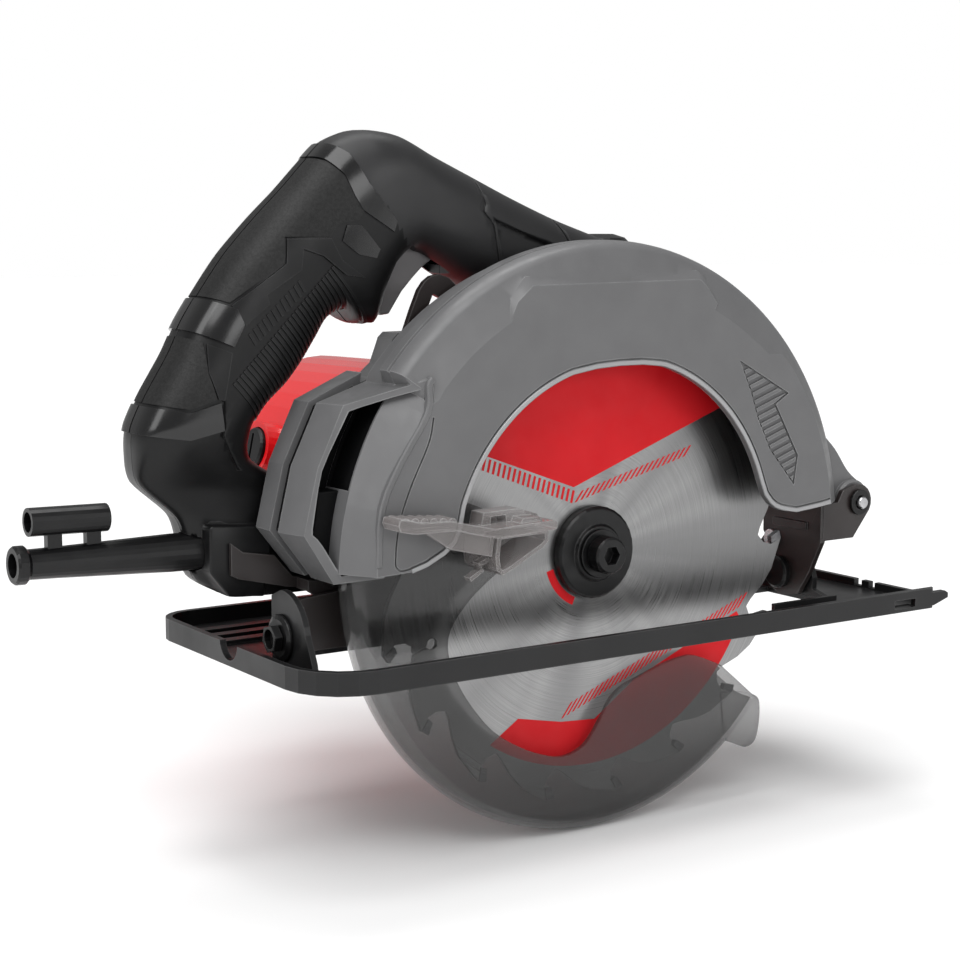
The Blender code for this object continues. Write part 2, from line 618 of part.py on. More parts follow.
def make_handle(finish, steel):
    right = make_handle_half("handle_right", -1, finish)
    left = make_handle_half("handle_left", 1, finish)
    for k, (x, z) in enumerate(((-118.0, 8.0), (-127.0, 76.0), (-28.0, 114.0))):
        width = (23.0, 16.5, 19.0)[k]
        cut(left, rod_y("handle_screw_way_%d" % k, x, z, 3.1, SEAM_Y + 5, SEAM_Y + 40, 12))
        stepped("handle_screw_%d" % (k + 1), ((0, 2.0), (width - 4.4, 2.0), (width - 4.4, 2.8), (width - 1.2, 2.8)),
                (x, SEAM_Y + 1.0, z), (0, 1, 0), steel, 12)
    return right, left


def make_front_handle(finish):
    steps = ((58.0, 11.0), (62.0, 13.6), (75.0, 13.0), (90.0, 14.2), (102.0, 14.6), (108.5, 13.0), (112.0, 9.5),
             (113.4, 5.0))
    rings = []
    for z, radius in steps:
        ring = []
        for i in range(24):
            x, y = polar(radius, 15.0 * i, 37.5 + 0.02 * (z - 58), 46.0)
            ring.append((x, y, z))
        rings.append(ring)
    return loft("front_handle", rings, finish)


def make_trigger(finish):
    pivot = (-49.0, SEAM_Y, 107.5)
    outline = [(-58, 111.5), (-46, 111.5), (-46, 105.8), (-51.1, 102.4), (-55.4, 98.4), (-59.6, 94.0), (-63.2, 88.8),
               (-65.0, 86.2), (-68.2, 85.8), (-69.8, 90.5), (-69.4, 95.5), (-67.2, 102.0), (-62.5, 109.0)]
    return along_y("trigger", outline, SEAM_Y - 6.4, SEAM_Y + 6.4, finish, pivot)


def make_switch(finish):
    outline = [(-96, 108), (-80, 99), (-74, 112), (-88, 128)]
    return along_y("switch", outline, SEAM_Y - 8.0, SEAM_Y + 8.0, finish)


def make_cord_protector(finish):
    tube = stepped("cord_protector", ((0, 6.5), (16, 6.5), (56, 5.2), (66, 5.0), (67.4, 6.4), (70.2, 6.4), (71, 5.8)),
                   (-132.0, SEAM_Y, 7.8), (-1, 0, 0.018), finish, 24)
    holder = stepped("wrench_tube", ((0, 4.7), (27.0, 4.7)), (-170.5, SEAM_Y, 22.2), (-1, 0, 0.02), None, 20)
    legs = []
    for k, x in enumerate((-191.5, -178.0)):
        legs.append(box("wrench_leg_%d" % k, (x, SEAM_Y - 1.6, 11.0), (x + 5.0, SEAM_Y + 1.6, 20.0)))
    fuse(tube, *legs, holder)
    bore = stepped("cord_bore", ((0, 4.0), (84.0, 4.0)), (-124.0, SEAM_Y, 7.65), (-1, 0, 0.018), None, 20)
    key_bore = stepped("wrench_bore", ((0, 3.4), (40.0, 3.4)), (-162.0, SEAM_Y, 22.03), (-1, 0, 0.02), None, 12)
    return cut(tube, bore, key_bore)


# Depth and bevel adjustment, and the shoe.

def round_end(cy, cz, radius, start, end, count):
    return [polar(radius, start + (end - start) * i / (count - 1), cy, cz) for i in range(count)]


def make_front_bracket(finish):
    pivot = (PIVOT_X, 0, PIVOT_Z)
    plate_outline = [(-12.4, 10.2), (20.5, 10.2), (20.5, -4.0), (17.6, -8.0), (19.0, -17.0), (16.0, -26.0),
                     (9.0, -28.8), (0.0, -26.8), (-6.7, -16.7), (-8.8, -12.2), (-12.4, -5.0)]
    item = along_x("front_bracket", plate_outline, 102.0, 104.5, finish, pivot)
    ear_outline = [(103.0, 10.2), (110.5, 10.2), (113.0, 14.6)]
    ear_outline += arc(7.0, 100, -30, 8, PIVOT_X, PIVOT_Z)
    near_ear = along_y("bracket_ear_right", ear_outline + [(118.9, -4.3), (103.0, -4.3)], -12.9, -10.5)
    far_ear = along_y("bracket_ear_left", ear_outline + [(122.5, 0.6), (103.0, 0.6)], 18.1, 20.5)
    boss = box("bracket_emboss", (101.0, -5.0, -0.9), (102.4, 14.0, 2.2))
    fuse(item, near_ear, far_ear, boss)
    cut(item, rod_y("ear_hole", PIVOT_X, PIVOT_Z, 2.8, -15, 23), rod_x("rivet_hole", BEVEL_Y, BEVEL_Z, 3.3, 99, 107))
    return cut(item, rod_x("lock_hole", LOCK_Y, LOCK_Z, 2.4, 99, 107, 12))


def make_depth_arc(finish):
    pivot = (PIVOT_X, 0, PIVOT_Z)
    outline = arc(ARC_OUTER, 155.2, 184.0, 14, PIVOT_X, PIVOT_Z)
    outline += [(-95.0, -6.5), (-117.4, -8.5), (-117.4, -26.3), (-63.0, -26.3)]
    outline += arc(ARC_INNER, 190.6, 153.6, 14, PIVOT_X, PIVOT_Z)
    for reach, angle in ((-4.5, 152.9), (-0.5, 152.6), (3.5, 152.8), (6.2, 153.4), (7.8, 154.2)):
        outline.append(polar(ARC_SLOT + reach, angle, PIVOT_X, PIVOT_Z))
    item = along_y("depth_arc", outline, ARC_Y0, ARC_Y1, finish, pivot)
    flange_outline = [(ARC_Y1, -8.5), (3.4, -8.5)]
    flange_outline += round_end(BEVEL_Y, BEVEL_Z, 7.4, 160, 300, 9)
    flange_outline += [(ARC_Y1, -26.3)]
    fuse(item, along_x("arc_flange", flange_outline, -118.0, -115.7))
    slot = arc(ARC_SLOT + 2.9, 154.9, 187.1, 14, PIVOT_X, PIVOT_Z)
    slot += arc(ARC_SLOT - 2.9, 187.1, 154.9, 14, PIVOT_X, PIVOT_Z)
    cut(item, along_y("arc_slot", slot, 12, 18), box("bolt_head_room", (-115.6, 12.0, -25.4), (-111.7, 18.0, -13.2)))
    return cut(item, rod_x("flange_hole", BEVEL_Y, BEVEL_Z, 3.3, -121, -113))


def rounded_plan(x0, y0, x1, y1, radii):
    """Corners of the shoe in plan. radii run from the front left corner to the rear left, rear right and front."""
    points = []
    corners = ((x1, y1, -1, -1, 0), (x0, y1, 1, -1, 90), (x0, y0, 1, 1, 180), (x1, y0, -1, 1, 270))
    for (x, y, toward_x, toward_y, start), radius in zip(corners, radii):
        points += arc(radius, start, start + 90, 6, x + toward_x * radius, y + toward_y * radius)
    return points


def front_tab_outline():
    points = [(28.0, -28.5), (27.0, -22.0)] + round_end(BEVEL_Y, BEVEL_Z, 18.4, 10, 122, 10)
    return points + [(-2.6, -8.0), (-2.8, -14.0), (-5.3, -20.0), (-5.0, -24.6), (-15.4, -27.4), (-15.4, -28.5)]


def rear_tab_outline():
    points = [(17.4, -28.5), (17.4, -6.0)] + round_end(BEVEL_Y, BEVEL_Z, 16.2, 88, 168, 9)
    return points + [(-10.3, -25.0), (-11.0, -28.5)]


def make_shoe(finish):
    pivot = (0, BEVEL_Y, BEVEL_Z)
    outline = rounded_plan(SHOE_REAR, SHOE_RIGHT, SHOE_FRONT, SHOE_LEFT, (2.8, 13.0, 22.0, 2.8))
    item = along_z("shoe", outline, SOLE_BOTTOM, RAIL_TOP, finish, pivot)
    inner = rounded_plan(SHOE_REAR + 2.4, SHOE_RIGHT + 2.4, SHOE_FRONT - 2.4, SHOE_LEFT - 2.4, (0.4, 10.6, 19.6, 0.4))
    cut(item, along_z("shoe_tray", inner, SOLE_TOP, 0.0))
    cut(item, box("front_flange_step", (130.0, -37.6, -24.4), (142.0, 90.0, 0.0)))
    cut(item, box("motor_room", (-60.0, 76.0, -25.4), (20.0, 90.0, 0.0)))
    cut(item, along_z("blade_slot", [(-118.2, -18), (104.9, -18), (104.9, 20), (-118.2, 20)], -32, -10))
    cut(item, box("sight_notch_0", (133.0, -2.4, -26.8), (140.0, 1.6, -20.0)))
    cut(item, box("sight_notch_45", (133.0, -9.6, -26.8), (140.0, -6.4, -20.0)))
    cut(item, rod_x("nut_notch", 22.0, -21.0, 6.6, -140, -130, 20))
    cut(item, box("rail_window", (115.0, -42.0, -28.0), (126.0, -36.0, -24.8)))
    tip = along_y("rail_tip", [(134.0, -28.6), (136.0, -28.6), (143.7, -26.2), (143.7, -24.4), (142.0, -23.4),
                               (134.0, -23.4)], -40.0, -37.6)
    rear_tab = along_x("rear_tab", rear_tab_outline(), -120.6, -118.4)
    front_tab = along_x("front_tab", front_tab_outline(), 105.2, 107.6)
    lip = box("slot_lip", (72.0, -20.0, -28.2), (104.0, -18.4, -24.4))
    fuse(item, tip, rear_tab, front_tab, lip)
    for k, y in enumerate((46, 56, 66)):
        fuse(item, box("sole_rib_%d" % k, (-126.0, y - 2.2, -28.2), (-66.0, y + 2.2, -26.1)))
    slot = arc(LOCK_REACH + 2.4, 61, 125, 8, BEVEL_Y, BEVEL_Z) + arc(LOCK_REACH - 2.4, 125, 61, 8, BEVEL_Y, BEVEL_Z)
    cut(item, along_x("bevel_slot", slot, 103, 110), rod_x("front_tab_hole", BEVEL_Y, BEVEL_Z, 3.3, 103, 110))
    return cut(item, rod_x("rear_tab_hole", BEVEL_Y, BEVEL_Z, 3.3, -123, -116))


def make_pivots(silver, black, steel):
    stepped("front_pivot_pin", ((0, 2.0), (0.5, 2.4), (37.5, 2.4)), (PIVOT_X, -16.0, PIVOT_Z), (0, 1, 0), silver, 20,
            (PIVOT_X, 0, PIVOT_Z))
    turned("pivot_clip", [(2.7, -14.4), (5.0, -14.4), (5.0, -13.3), (2.7, -13.3)], PIVOT_X, PIVOT_Z, black, 20,
           (PIVOT_X, 0, PIVOT_Z))
    stepped("front_bevel_rivet", ((0, 5.4), (0.8, 6.4), (3.0, 6.4), (3.0, 3.0), (10.0, 3.0), (10.0, 5.2), (11.4, 5.0)),
            (98.6, BEVEL_Y, BEVEL_Z), (1, 0, 0), black, 24)
    stepped("rear_bevel_bolt", ((0, 5.0), (2.1, 5.0), (2.1, 3.0), (10.4, 3.0)), (-113.3, BEVEL_Y, BEVEL_Z), (-1, 0, 0),
            black, 20)
    washer = stepped("rear_bevel_washer", ((0, 8.0), (1.0, 8.0), (1.6, 6.4)), (-120.9, BEVEL_Y, BEVEL_Z), (-1, 0, 0),
                     black, 24)
    cut(washer, rod_x("washer_hole", BEVEL_Y, BEVEL_Z, 3.3, -125, -120))
    nut = stepped("rear_bevel_nut", ((0, 4.9), (3.0, 4.9)), (-122.8, BEVEL_Y, BEVEL_Z), (-1, 0, 0), steel, 6)
    cut(nut, rod_x("nut_hole", BEVEL_Y, BEVEL_Z, 3.3, -128, -121))
    nut.data.shade_flat()


def lever_arm_outline(lock_x, lock_z):
    hub = arc(8.0, -110, 60, 8, lock_x, lock_z)
    return hub + [(-80.0, -4.0), (-103.0, -3.0), (-106.4, -2.6), (-106.4, -6.2), (-100.0, -10.5), (-84.0, -17.4)]


def make_depth_lock_lever(black, lock_x, lock_z):
    """A stamped lever: a flat arm on the bolt, a step outwards and a thin tail with a turned lip."""
    lever = along_y("depth_lock_lever", lever_arm_outline(lock_x, lock_z), 17.4, 20.4, black, (lock_x, 0, lock_z))
    step = box("lever_step", (-106.4, 18.4, -6.4), (-103.4, 26.0, -2.6))
    tail = along_y("lever_tail", [(-103.4, -2.6), (-108.0, -2.2), (-111.5, 1.5), (-115.0, 5.8), (-127.0, 8.0),
                                  (-131.4, 11.4), (-131.4, 0.4), (-128.9, -1.0), (-110.7, -5.4), (-103.4, -6.6)],
                   25.3, 26.8)
    fuse(lever, step, tail)
    return cut(lever, rod_y("lever_hole", lock_x, lock_z, 2.8, 15, 31))


def make_locks(black, steel):
    lock_x, lock_z = polar(ARC_SLOT, LOCK_ANGLE, PIVOT_X, PIVOT_Z)
    stepped("depth_lock_bolt", ((0, 4.4), (0.4, 2.4), (6.0, 2.4), (17.0, 2.4)), (lock_x, 13.2, lock_z), (0, 1, 0),
            steel, 16)
    nut = turned("depth_lock_nut", [(3.1, 28.3), (5.2, 28.3), (5.2, 30.8), (3.1, 30.8)], lock_x, lock_z, steel, 6)
    nut.data.shade_flat()
    make_depth_lock_lever(black, lock_x, lock_z)
    stepped("bevel_lock_bolt", ((0, 3.6), (1.4, 3.6), (1.4, 2.0), (15.0, 2.0)), (100.3, LOCK_Y, LOCK_Z), (1, 0, 0),
            steel, 14)
    knob = stepped("bevel_lock_knob", ((0, 5.0), (0.8, 5.8), (4.4, 5.8), (5.2, 5.0)), (108.4, LOCK_Y, LOCK_Z),
                   (1, 0, 0), black, 20, (0, LOCK_Y, LOCK_Z))
    wing = box("bevel_wing", (109.0, LOCK_Y - 1.6, LOCK_Z), (112.2, LOCK_Y + 1.6, LOCK_Z + 11.4))
    fuse(knob, wing)
    cut(knob, rod_x("knob_hole", LOCK_Y, LOCK_Z, 2.3, 106, 118, 14))


def make_spindle_lock(finish):
    return box("spindle_lock_button", (27.6, 20.9, 17.9), (38.0, 24.1, 22.1), finish)


def main():
    clear_scene()
    casting = material("satin_cast_grey", (0.18, 0.18, 0.185), 0.42, 0.35)
    red = material("gloss_red_nylon", (0.62, 0.025, 0.03), 0.28)
    black = material("black_nylon", (0.018, 0.018, 0.02), 0.45)
    rubber = material("soft_black_rubber", (0.02, 0.02, 0.02), 0.7)
    grey_plastic = material("grey_trigger_plastic", (0.13, 0.13, 0.135), 0.4)
    smoke = material("smoked_polycarbonate", (0.12, 0.12, 0.12), 0.15, 0.0, 0.6)
    clear = material("clear_polycarbonate", (0.5, 0.5, 0.5), 0.12, 0.0, 0.5)
    blade_steel = material("brushed_blade_steel", (0.62, 0.62, 0.62), 0.32, 1.0)
    bright = material("bright_steel", (0.7, 0.7, 0.7), 0.25, 1.0)
    dark_steel = material("black_oxide_steel", (0.03, 0.03, 0.032), 0.4, 0.6)
    painted = material("dark_painted_steel", (0.045, 0.045, 0.047), 0.45, 0.2)
    stamped = material("brown_black_painted_steel", (0.022, 0.017, 0.017), 0.45, 0.2)
    copper = material("copper_wire", (0.7, 0.3, 0.12), 0.35, 1.0)
    core = material("lamination_steel", (0.3, 0.3, 0.32), 0.5, 0.8)
    carbon = material("brush_carbon", (0.03, 0.03, 0.03), 0.8)

    make_blade(blade_steel)
    make_spindle(bright)
    make_gear(bright)
    make_pinion(bright)
    make_clamping_set(dark_steel, bright)
    make_upper_guard(casting)
    make_lower_guard(smoke)
    make_guard_lever(clear)
    make_return_spring(bright)
    make_gear_housing(casting)
    make_housing_screws(dark_steel)
    make_motor_housing(red)
    make_end_cap(black)
    make_bearings(bright)
    make_stator(core, copper)
    make_armature(core, copper, black)
    make_brushes(carbon, black)
    make_handle(black, dark_steel)
    make_front_handle(black)
    make_trigger(grey_plastic)
    make_switch(black)
    make_cord_protector(rubber)
    make_front_bracket(stamped)
    make_depth_arc(stamped)
    make_shoe(painted)
    make_pivots(bright, stamped, dark_steel)
    make_locks(stamped, bright)
    make_spindle_lock(grey_plastic)


main()
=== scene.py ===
"""The circular saw's looks: finer castings, grips, guards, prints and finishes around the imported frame.

Lengths are in millimetres in the saw's own frame: the origin is the arbor's centre in the middle of
the blade, +X points forward along the cut, +Y towards the motor and +Z up. at() gives world metres.
"""

import math

import bmesh
import bpy
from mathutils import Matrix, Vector


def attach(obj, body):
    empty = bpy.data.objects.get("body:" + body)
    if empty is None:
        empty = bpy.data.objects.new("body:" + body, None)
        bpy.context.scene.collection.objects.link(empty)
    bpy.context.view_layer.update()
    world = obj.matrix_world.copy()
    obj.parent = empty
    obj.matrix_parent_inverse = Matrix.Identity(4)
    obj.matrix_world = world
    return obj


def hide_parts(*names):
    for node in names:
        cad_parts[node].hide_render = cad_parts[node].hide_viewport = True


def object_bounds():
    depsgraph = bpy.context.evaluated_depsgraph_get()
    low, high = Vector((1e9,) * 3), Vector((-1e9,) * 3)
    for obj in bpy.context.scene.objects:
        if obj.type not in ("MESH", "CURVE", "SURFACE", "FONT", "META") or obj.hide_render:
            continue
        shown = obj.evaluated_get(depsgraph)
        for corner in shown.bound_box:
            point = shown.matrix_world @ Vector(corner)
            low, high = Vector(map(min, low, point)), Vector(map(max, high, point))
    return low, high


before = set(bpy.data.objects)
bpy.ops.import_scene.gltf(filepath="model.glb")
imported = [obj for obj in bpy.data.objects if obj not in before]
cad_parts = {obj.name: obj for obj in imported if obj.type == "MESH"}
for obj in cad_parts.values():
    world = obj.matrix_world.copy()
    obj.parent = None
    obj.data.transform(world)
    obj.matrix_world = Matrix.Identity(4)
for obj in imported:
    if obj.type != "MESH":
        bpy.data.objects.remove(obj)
CAD_LOW, CAD_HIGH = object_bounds()

MM = 0.001
ARBOR_HEIGHT = 29.5
ORIGIN_Y = 50.0
ARBOR = (0.0, -0.050, 0.0295)
SEAM_Y = 38.0
FACE_Y = -17.0
BACK_Y = 12.5
PIVOT_X, PIVOT_Z = 121.3, 9.6
SHARP_ANGLE = 32.0


def at(x, y, z):
    return Vector((x * MM, (y - ORIGIN_Y) * MM, (z + ARBOR_HEIGHT) * MM))


def polar(radius, degrees, cx=0.0, cz=0.0):
    angle = math.radians(degrees)
    return cx + radius * math.cos(angle), cz + radius * math.sin(angle)


def arc(radius, start, end, count, cx=0.0, cz=0.0):
    step = (end - start) / (count - 1)
    return [polar(radius, start + step * i, cx, cz) for i in range(count)]


# Materials.

def linear(red, green, blue):
    """A colour given in the usual 0 to 255 steps, as linear light."""
    steps = [c / 255.0 for c in (red, green, blue)]
    return tuple(c / 12.92 if c <= 0.04045 else ((c + 0.055) / 1.055) ** 2.4 for c in steps)


class Finish:
    """A node material: its colour varies with noise, and so do its roughness and its fine relief."""

    def __init__(self, name, roughness, metallic=0.0, coat=0.0, specular=0.5):
        self.material = bpy.data.materials.new(name)
        self.material.use_nodes = True
        self.tree = self.material.node_tree
        self.shader = self.tree.nodes["Principled BSDF"]
        self.shader.inputs["Metallic"].default_value = metallic
        self.shader.inputs["Roughness"].default_value = roughness
        self.shader.inputs["Coat Weight"].default_value = coat
        self.shader.inputs["Coat Roughness"].default_value = 0.12
        self.shader.inputs["Specular IOR Level"].default_value = specular
        self.place = self.node("ShaderNodeTexCoord").outputs["Object"]

    def node(self, kind, **values):
        made = self.tree.nodes.new(kind)
        for key, value in values.items():
            setattr(made, key, value)
        return made

    def link(self, source, target):
        self.tree.links.new(source, target)

    def noise(self, scale, detail=3.0, place=None, roughness=0.5):
        made = self.node("ShaderNodeTexNoise")
        made.inputs["Scale"].default_value = scale
        made.inputs["Detail"].default_value = detail
        made.inputs["Roughness"].default_value = roughness
        self.link(place or self.place, made.inputs["Vector"])
        return made.outputs["Fac"]

    def remap(self, value, low, high, new_low, new_high):
        made = self.node("ShaderNodeMapRange")
        for key, number in (("From Min", low), ("From Max", high), ("To Min", new_low), ("To Max", new_high)):
            made.inputs[key].default_value = number
        self.link(value, made.inputs["Value"])
        return made.outputs["Result"]

    def mix(self, factor, first, second):
        made = self.node("ShaderNodeMix", data_type="RGBA")
        self.link(factor, made.inputs["Factor"])
        for socket, value in ((made.inputs["A"], first), (made.inputs["B"], second)):
            if isinstance(value, tuple):
                socket.default_value = (*value, 1.0)
            else:
                self.link(value, socket)
        return made.outputs["Result"]

    def math(self, operation, first, second=None):
        made = self.node("ShaderNodeMath", operation=operation)
        for socket, value in zip(made.inputs, (first, second)):
            if isinstance(value, (int, float)):
                socket.default_value = value
            elif value is not None:
                self.link(value, socket)
        return made.outputs["Value"]

    def colour(self, first, second, scale):
        shade = self.remap(self.noise(scale), 0.35, 0.65, 0.0, 1.0)
        self.base = self.mix(shade, first, second)
        self.link(self.base, self.shader.inputs["Base Color"])
        return self

    def edge_wear_and_highlight(self, tone, amount):
        """Edges turned a lighter tone: rubbed wear on the opaque finishes, a painted highlight on the clear
        plastic.
        """
        rounded = self.node("ShaderNodeBevel")
        rounded.samples = 4
        rounded.inputs["Radius"].default_value = 0.0007
        turn = self.node("ShaderNodeVectorMath", operation="DOT_PRODUCT")
        self.link(rounded.outputs["Normal"], turn.inputs[0])
        self.link(self.node("ShaderNodeNewGeometry").outputs["Normal"], turn.inputs[1])
        edge = self.remap(turn.outputs["Value"], 0.98, 0.85, 0.0, amount)
        edge = self.math("MULTIPLY", edge, self.remap(self.noise(90.0), 0.3, 0.6, 0.2, 1.0))
        self.base = self.mix(edge, self.base, tone)
        self.link(self.base, self.shader.inputs["Base Color"])
        return self

    def gloss(self, low, high, scale):
        self.link(self.remap(self.noise(scale, 2.0), 0.3, 0.7, low, high), self.shader.inputs["Roughness"])
        return self

    def relief(self, height, strength, depth):
        bump = self.node("ShaderNodeBump")
        bump.inputs["Strength"].default_value = strength
        bump.inputs["Distance"].default_value = depth
        self.link(height, bump.inputs["Height"])
        self.link(bump.outputs["Normal"], self.shader.inputs["Normal"])
        return self


def plain(name, tone, other, roughness, scale=60.0, metallic=0.0, coat=0.0, grain=900.0, depth=0.00004,
          wear=0.0, specular=0.5):
    """A moulded, cast or painted finish between two close tones."""
    made = Finish(name, roughness, metallic, coat, specular)
    made.colour(linear(*tone), linear(*other), scale)
    if wear:
        made.edge_wear_and_highlight(linear(200, 200, 200), wear)
    made.gloss(roughness * 0.82, roughness * 1.2, scale * 3.0)
    made.relief(made.noise(grain, 2.0), 0.35, depth)
    return made.material


def brushed_blade():
    """Steel ground in circles about the arbor, with a painted sheen: the colour darkens in fans about the
    arbor.
    """
    made = Finish("ground_blade_steel", 0.3, metallic=1.0)
    shift = made.node("ShaderNodeVectorMath", operation="SUBTRACT")
    made.link(made.place, shift.inputs[0])
    shift.inputs[1].default_value = ARBOR
    split = made.node("ShaderNodeSeparateXYZ")
    made.link(shift.outputs["Vector"], split.inputs["Vector"])
    x, z = split.outputs["X"], split.outputs["Z"]
    radius = made.math("SQRT", made.math("ADD", made.math("MULTIPLY", x, x), made.math("MULTIPLY", z, z)))
    turn = made.math("ARCTAN2", z, x)
    rings = made.node("ShaderNodeCombineXYZ")
    made.link(made.math("MULTIPLY", radius, 2600.0), rings.inputs["X"])
    made.link(made.math("MULTIPLY", turn, 1.2), rings.inputs["Y"])
    fine = made.noise(1.0, 4.0, rings.outputs["Vector"], 0.7)
    # Painted sheen: noise in twice the angle darkens the colour in fans, like the turning reflection of
    # circular grinding.
    fans = made.node("ShaderNodeCombineXYZ")
    for operation, socket in (("COSINE", "X"), ("SINE", "Y")):
        swing = made.math(operation, made.math("MULTIPLY", turn, 2.0))
        made.link(made.math("MULTIPLY", swing, 1.6), fans.inputs[socket])
    painted_sheen = made.noise(1.0, 1.0, fans.outputs["Vector"])
    tone = made.mix(made.remap(fine, 0.3, 0.7, 0.0, 1.0), linear(138, 138, 138), linear(170, 170, 170))
    dark = made.mix(made.remap(painted_sheen, 0.35, 0.65, 0.0, 0.55), tone, linear(118, 118, 119))
    made.link(dark, made.shader.inputs["Base Color"])
    made.link(made.remap(fine, 0.3, 0.7, 0.24, 0.44), made.shader.inputs["Roughness"])
    made.relief(fine, 0.25, 0.00002)
    return made.material


def smoked(name, tone, other, facing, grazing, roughness, rim=0.0):
    """A see-through plastic, denser where it is seen edge on."""
    made = Finish(name, roughness, coat=0.3)
    edge = made.node("ShaderNodeLayerWeight")
    edge.inputs["Blend"].default_value = 0.4
    made.link(made.remap(edge.outputs["Facing"], 0.1, 0.95, facing, grazing), made.shader.inputs["Alpha"])
    made.colour(linear(*tone), linear(*other), 25.0)
    # rim lightens the edges towards near white: a painted highlight.
    if rim:
        made.edge_wear_and_highlight(linear(235, 235, 235), rim)
    made.gloss(roughness * 0.7, roughness * 1.5, 40.0)
    made.relief(made.noise(60.0, 2.0), 0.1, 0.00005)
    return made.material


CAST = plain("satin_grey_casting", (94, 94, 95), (98, 98, 99), 0.42, 60.0, 0.0,
             0.05, 1500.0, 0.00003, 0.3)
# A lighter copy of the casting: a painted highlight for the lip along the window's edge.
CAST_PAINTED_HIGHLIGHT = plain("painted_highlight_casting_edge", (150, 150, 151), (160, 160, 161), 0.34, 30.0,
                   0.35, 0.2, 1500.0, 0.00002)
# A near-black copy of the casting: painted shade for the chip port's hollow, neck and ledge, where only shade
# falls.
CAST_PAINTED_SHADE = plain("painted_shade_port_casting", (10, 10, 11), (14, 14, 15), 0.6, 30.0, specular=0.1)
RED = plain("gloss_red_nylon", (222, 22, 28), (212, 18, 24), 0.22, 12.0, 0.0, 0.5, 700.0, 0.00002)
BLACK = plain("black_nylon", (10, 10, 11), (13, 13, 14), 0.38, 20.0, 0.0, 0.0, 1600.0, 0.00003,
              0.05, specular=0.3)
ARM = plain("satin_black_nylon", (30, 30, 31), (36, 36, 37), 0.46, 20.0, 0.0, 0.0, 1600.0, 0.00004,
            0.05, specular=0.4)
GLOSS = plain("polished_black_nylon", (10, 10, 11), (14, 14, 15), 0.2, 25.0, 0.0, 0.2, 900.0, 0.00001)
RUBBER = plain("grained_grip_rubber", (12, 12, 12), (26, 26, 26), 0.55, 900.0, 0.0, 0.0, 1300.0, 0.00025,
               specular=0.35)
CORD_RUBBER = plain("soft_cord_rubber", (11, 11, 12), (15, 15, 16), 0.34, 40.0, 0.0, 0.0, 1200.0, 0.00002,
                    specular=0.35)
TRIGGER = plain("grey_trigger_nylon", (112, 110, 111), (120, 118, 119), 0.42, 30.0, 0.0, 0.0, 1500.0, 0.00003)
STEEL = plain("bright_steel", (176, 176, 178), (196, 196, 198), 0.26, 120.0, 1.0, 0.0, 1500.0, 0.00001)
OXIDE = plain("black_oxide_steel", (10, 10, 11), (14, 14, 15), 0.36, 80.0, 0.0, 0.0, 1400.0, 0.00002,
              0.06, specular=0.35)
PAINT = plain("dark_painted_steel", (18, 18, 19), (23, 23, 24), 0.4, 18.0, 0.0, 0.05, 900.0, 0.00003,
              0.08, specular=0.35)
BROWN = plain("brown_black_painted_steel", (34, 29, 29), (41, 35, 34), 0.4, 25.0, 0.1,
              0.1, 900.0, 0.00003, 0.15)
COPPER = plain("varnished_copper", (184, 100, 60), (160, 82, 48), 0.32, 300.0, 0.9)
CORE = plain("lamination_steel", (120, 120, 124), (138, 138, 142), 0.5, 400.0, 0.8)
CARBON = plain("brush_carbon", (40, 40, 41), (52, 52, 53), 0.7, 200.0)
PRINT = plain("red_blade_print", (206, 20, 29), (212, 26, 34), 0.5, 60.0, 0.0, 0.0, 1200.0, 0.00001,
              specular=0.2)
CARBIDE = plain("ground_carbide", (110, 110, 112), (130, 130, 132), 0.3, 500.0, 0.9)
SMOKE = smoked("smoked_polycarbonate", (48, 48, 48), (54, 54, 54), 0.44, 0.6, 0.16)
# A lighter, denser copy of the smoked plastic: a painted highlight on the lower guard's rim and tip.
SMOKE_PAINTED_HIGHLIGHT = smoked("smoked_rim_painted_highlight", (84, 84, 84), (92, 92, 92), 0.45, 0.8, 0.14)
# The clear lever's edges are lightened towards near white: a painted highlight.
CLEAR = smoked("clear_polycarbonate", (128, 122, 121), (140, 135, 134), 0.4, 0.95, 0.12, 0.8)
BLADE = brushed_blade()


# Mesh helpers.

def new_piece(name, bm, finishes, body=None):
    bmesh.ops.remove_doubles(bm, verts=bm.verts, dist=1e-7)
    bmesh.ops.recalc_face_normals(bm, faces=bm.faces)
    mesh = bpy.data.meshes.new(name)
    bm.to_mesh(mesh)
    bm.free()
    mesh.shade_smooth()
    mesh.set_sharp_from_angle(angle=math.radians(SHARP_ANGLE))
    item = bpy.data.objects.new(name, mesh)
    bpy.context.scene.collection.objects.link(item)
    for finish in finishes:
        mesh.materials.append(finish)
    if body:
        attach(item, body)
    return item


def loft(name, rings, finish=None, loop=False, body=None):
    """A closed solid through rings of points. loop joins the last ring to the first."""
    bm = bmesh.new()
    rows = [[bm.verts.new(at(*point)) for point in ring] for ring in rings]
    count = len(rows[0])
    pairs = list(zip(rows, rows[1:]))
    if loop:
        pairs.append((rows[-1], rows[0]))
    for low, high in pairs:
        for i in range(count):
            j = (i + 1) % count
            bm.faces.new((low[i], low[j], high[j], high[i]))
    if not loop:
        bm.faces.new(rows[0])
        bm.faces.new(rows[-1])
    return new_piece(name, bm, [finish] if finish else [], body)


def along_y(name, outline, y0, y1, finish=None, body=None):
    return loft(name, [[(x, y, z) for x, z in outline] for y in (y0, y1)], finish, body=body)


def along_x(name, outline, x0, x1):
    return loft(name, [[(x, y, z) for y, z in outline] for x in (x0, x1)])


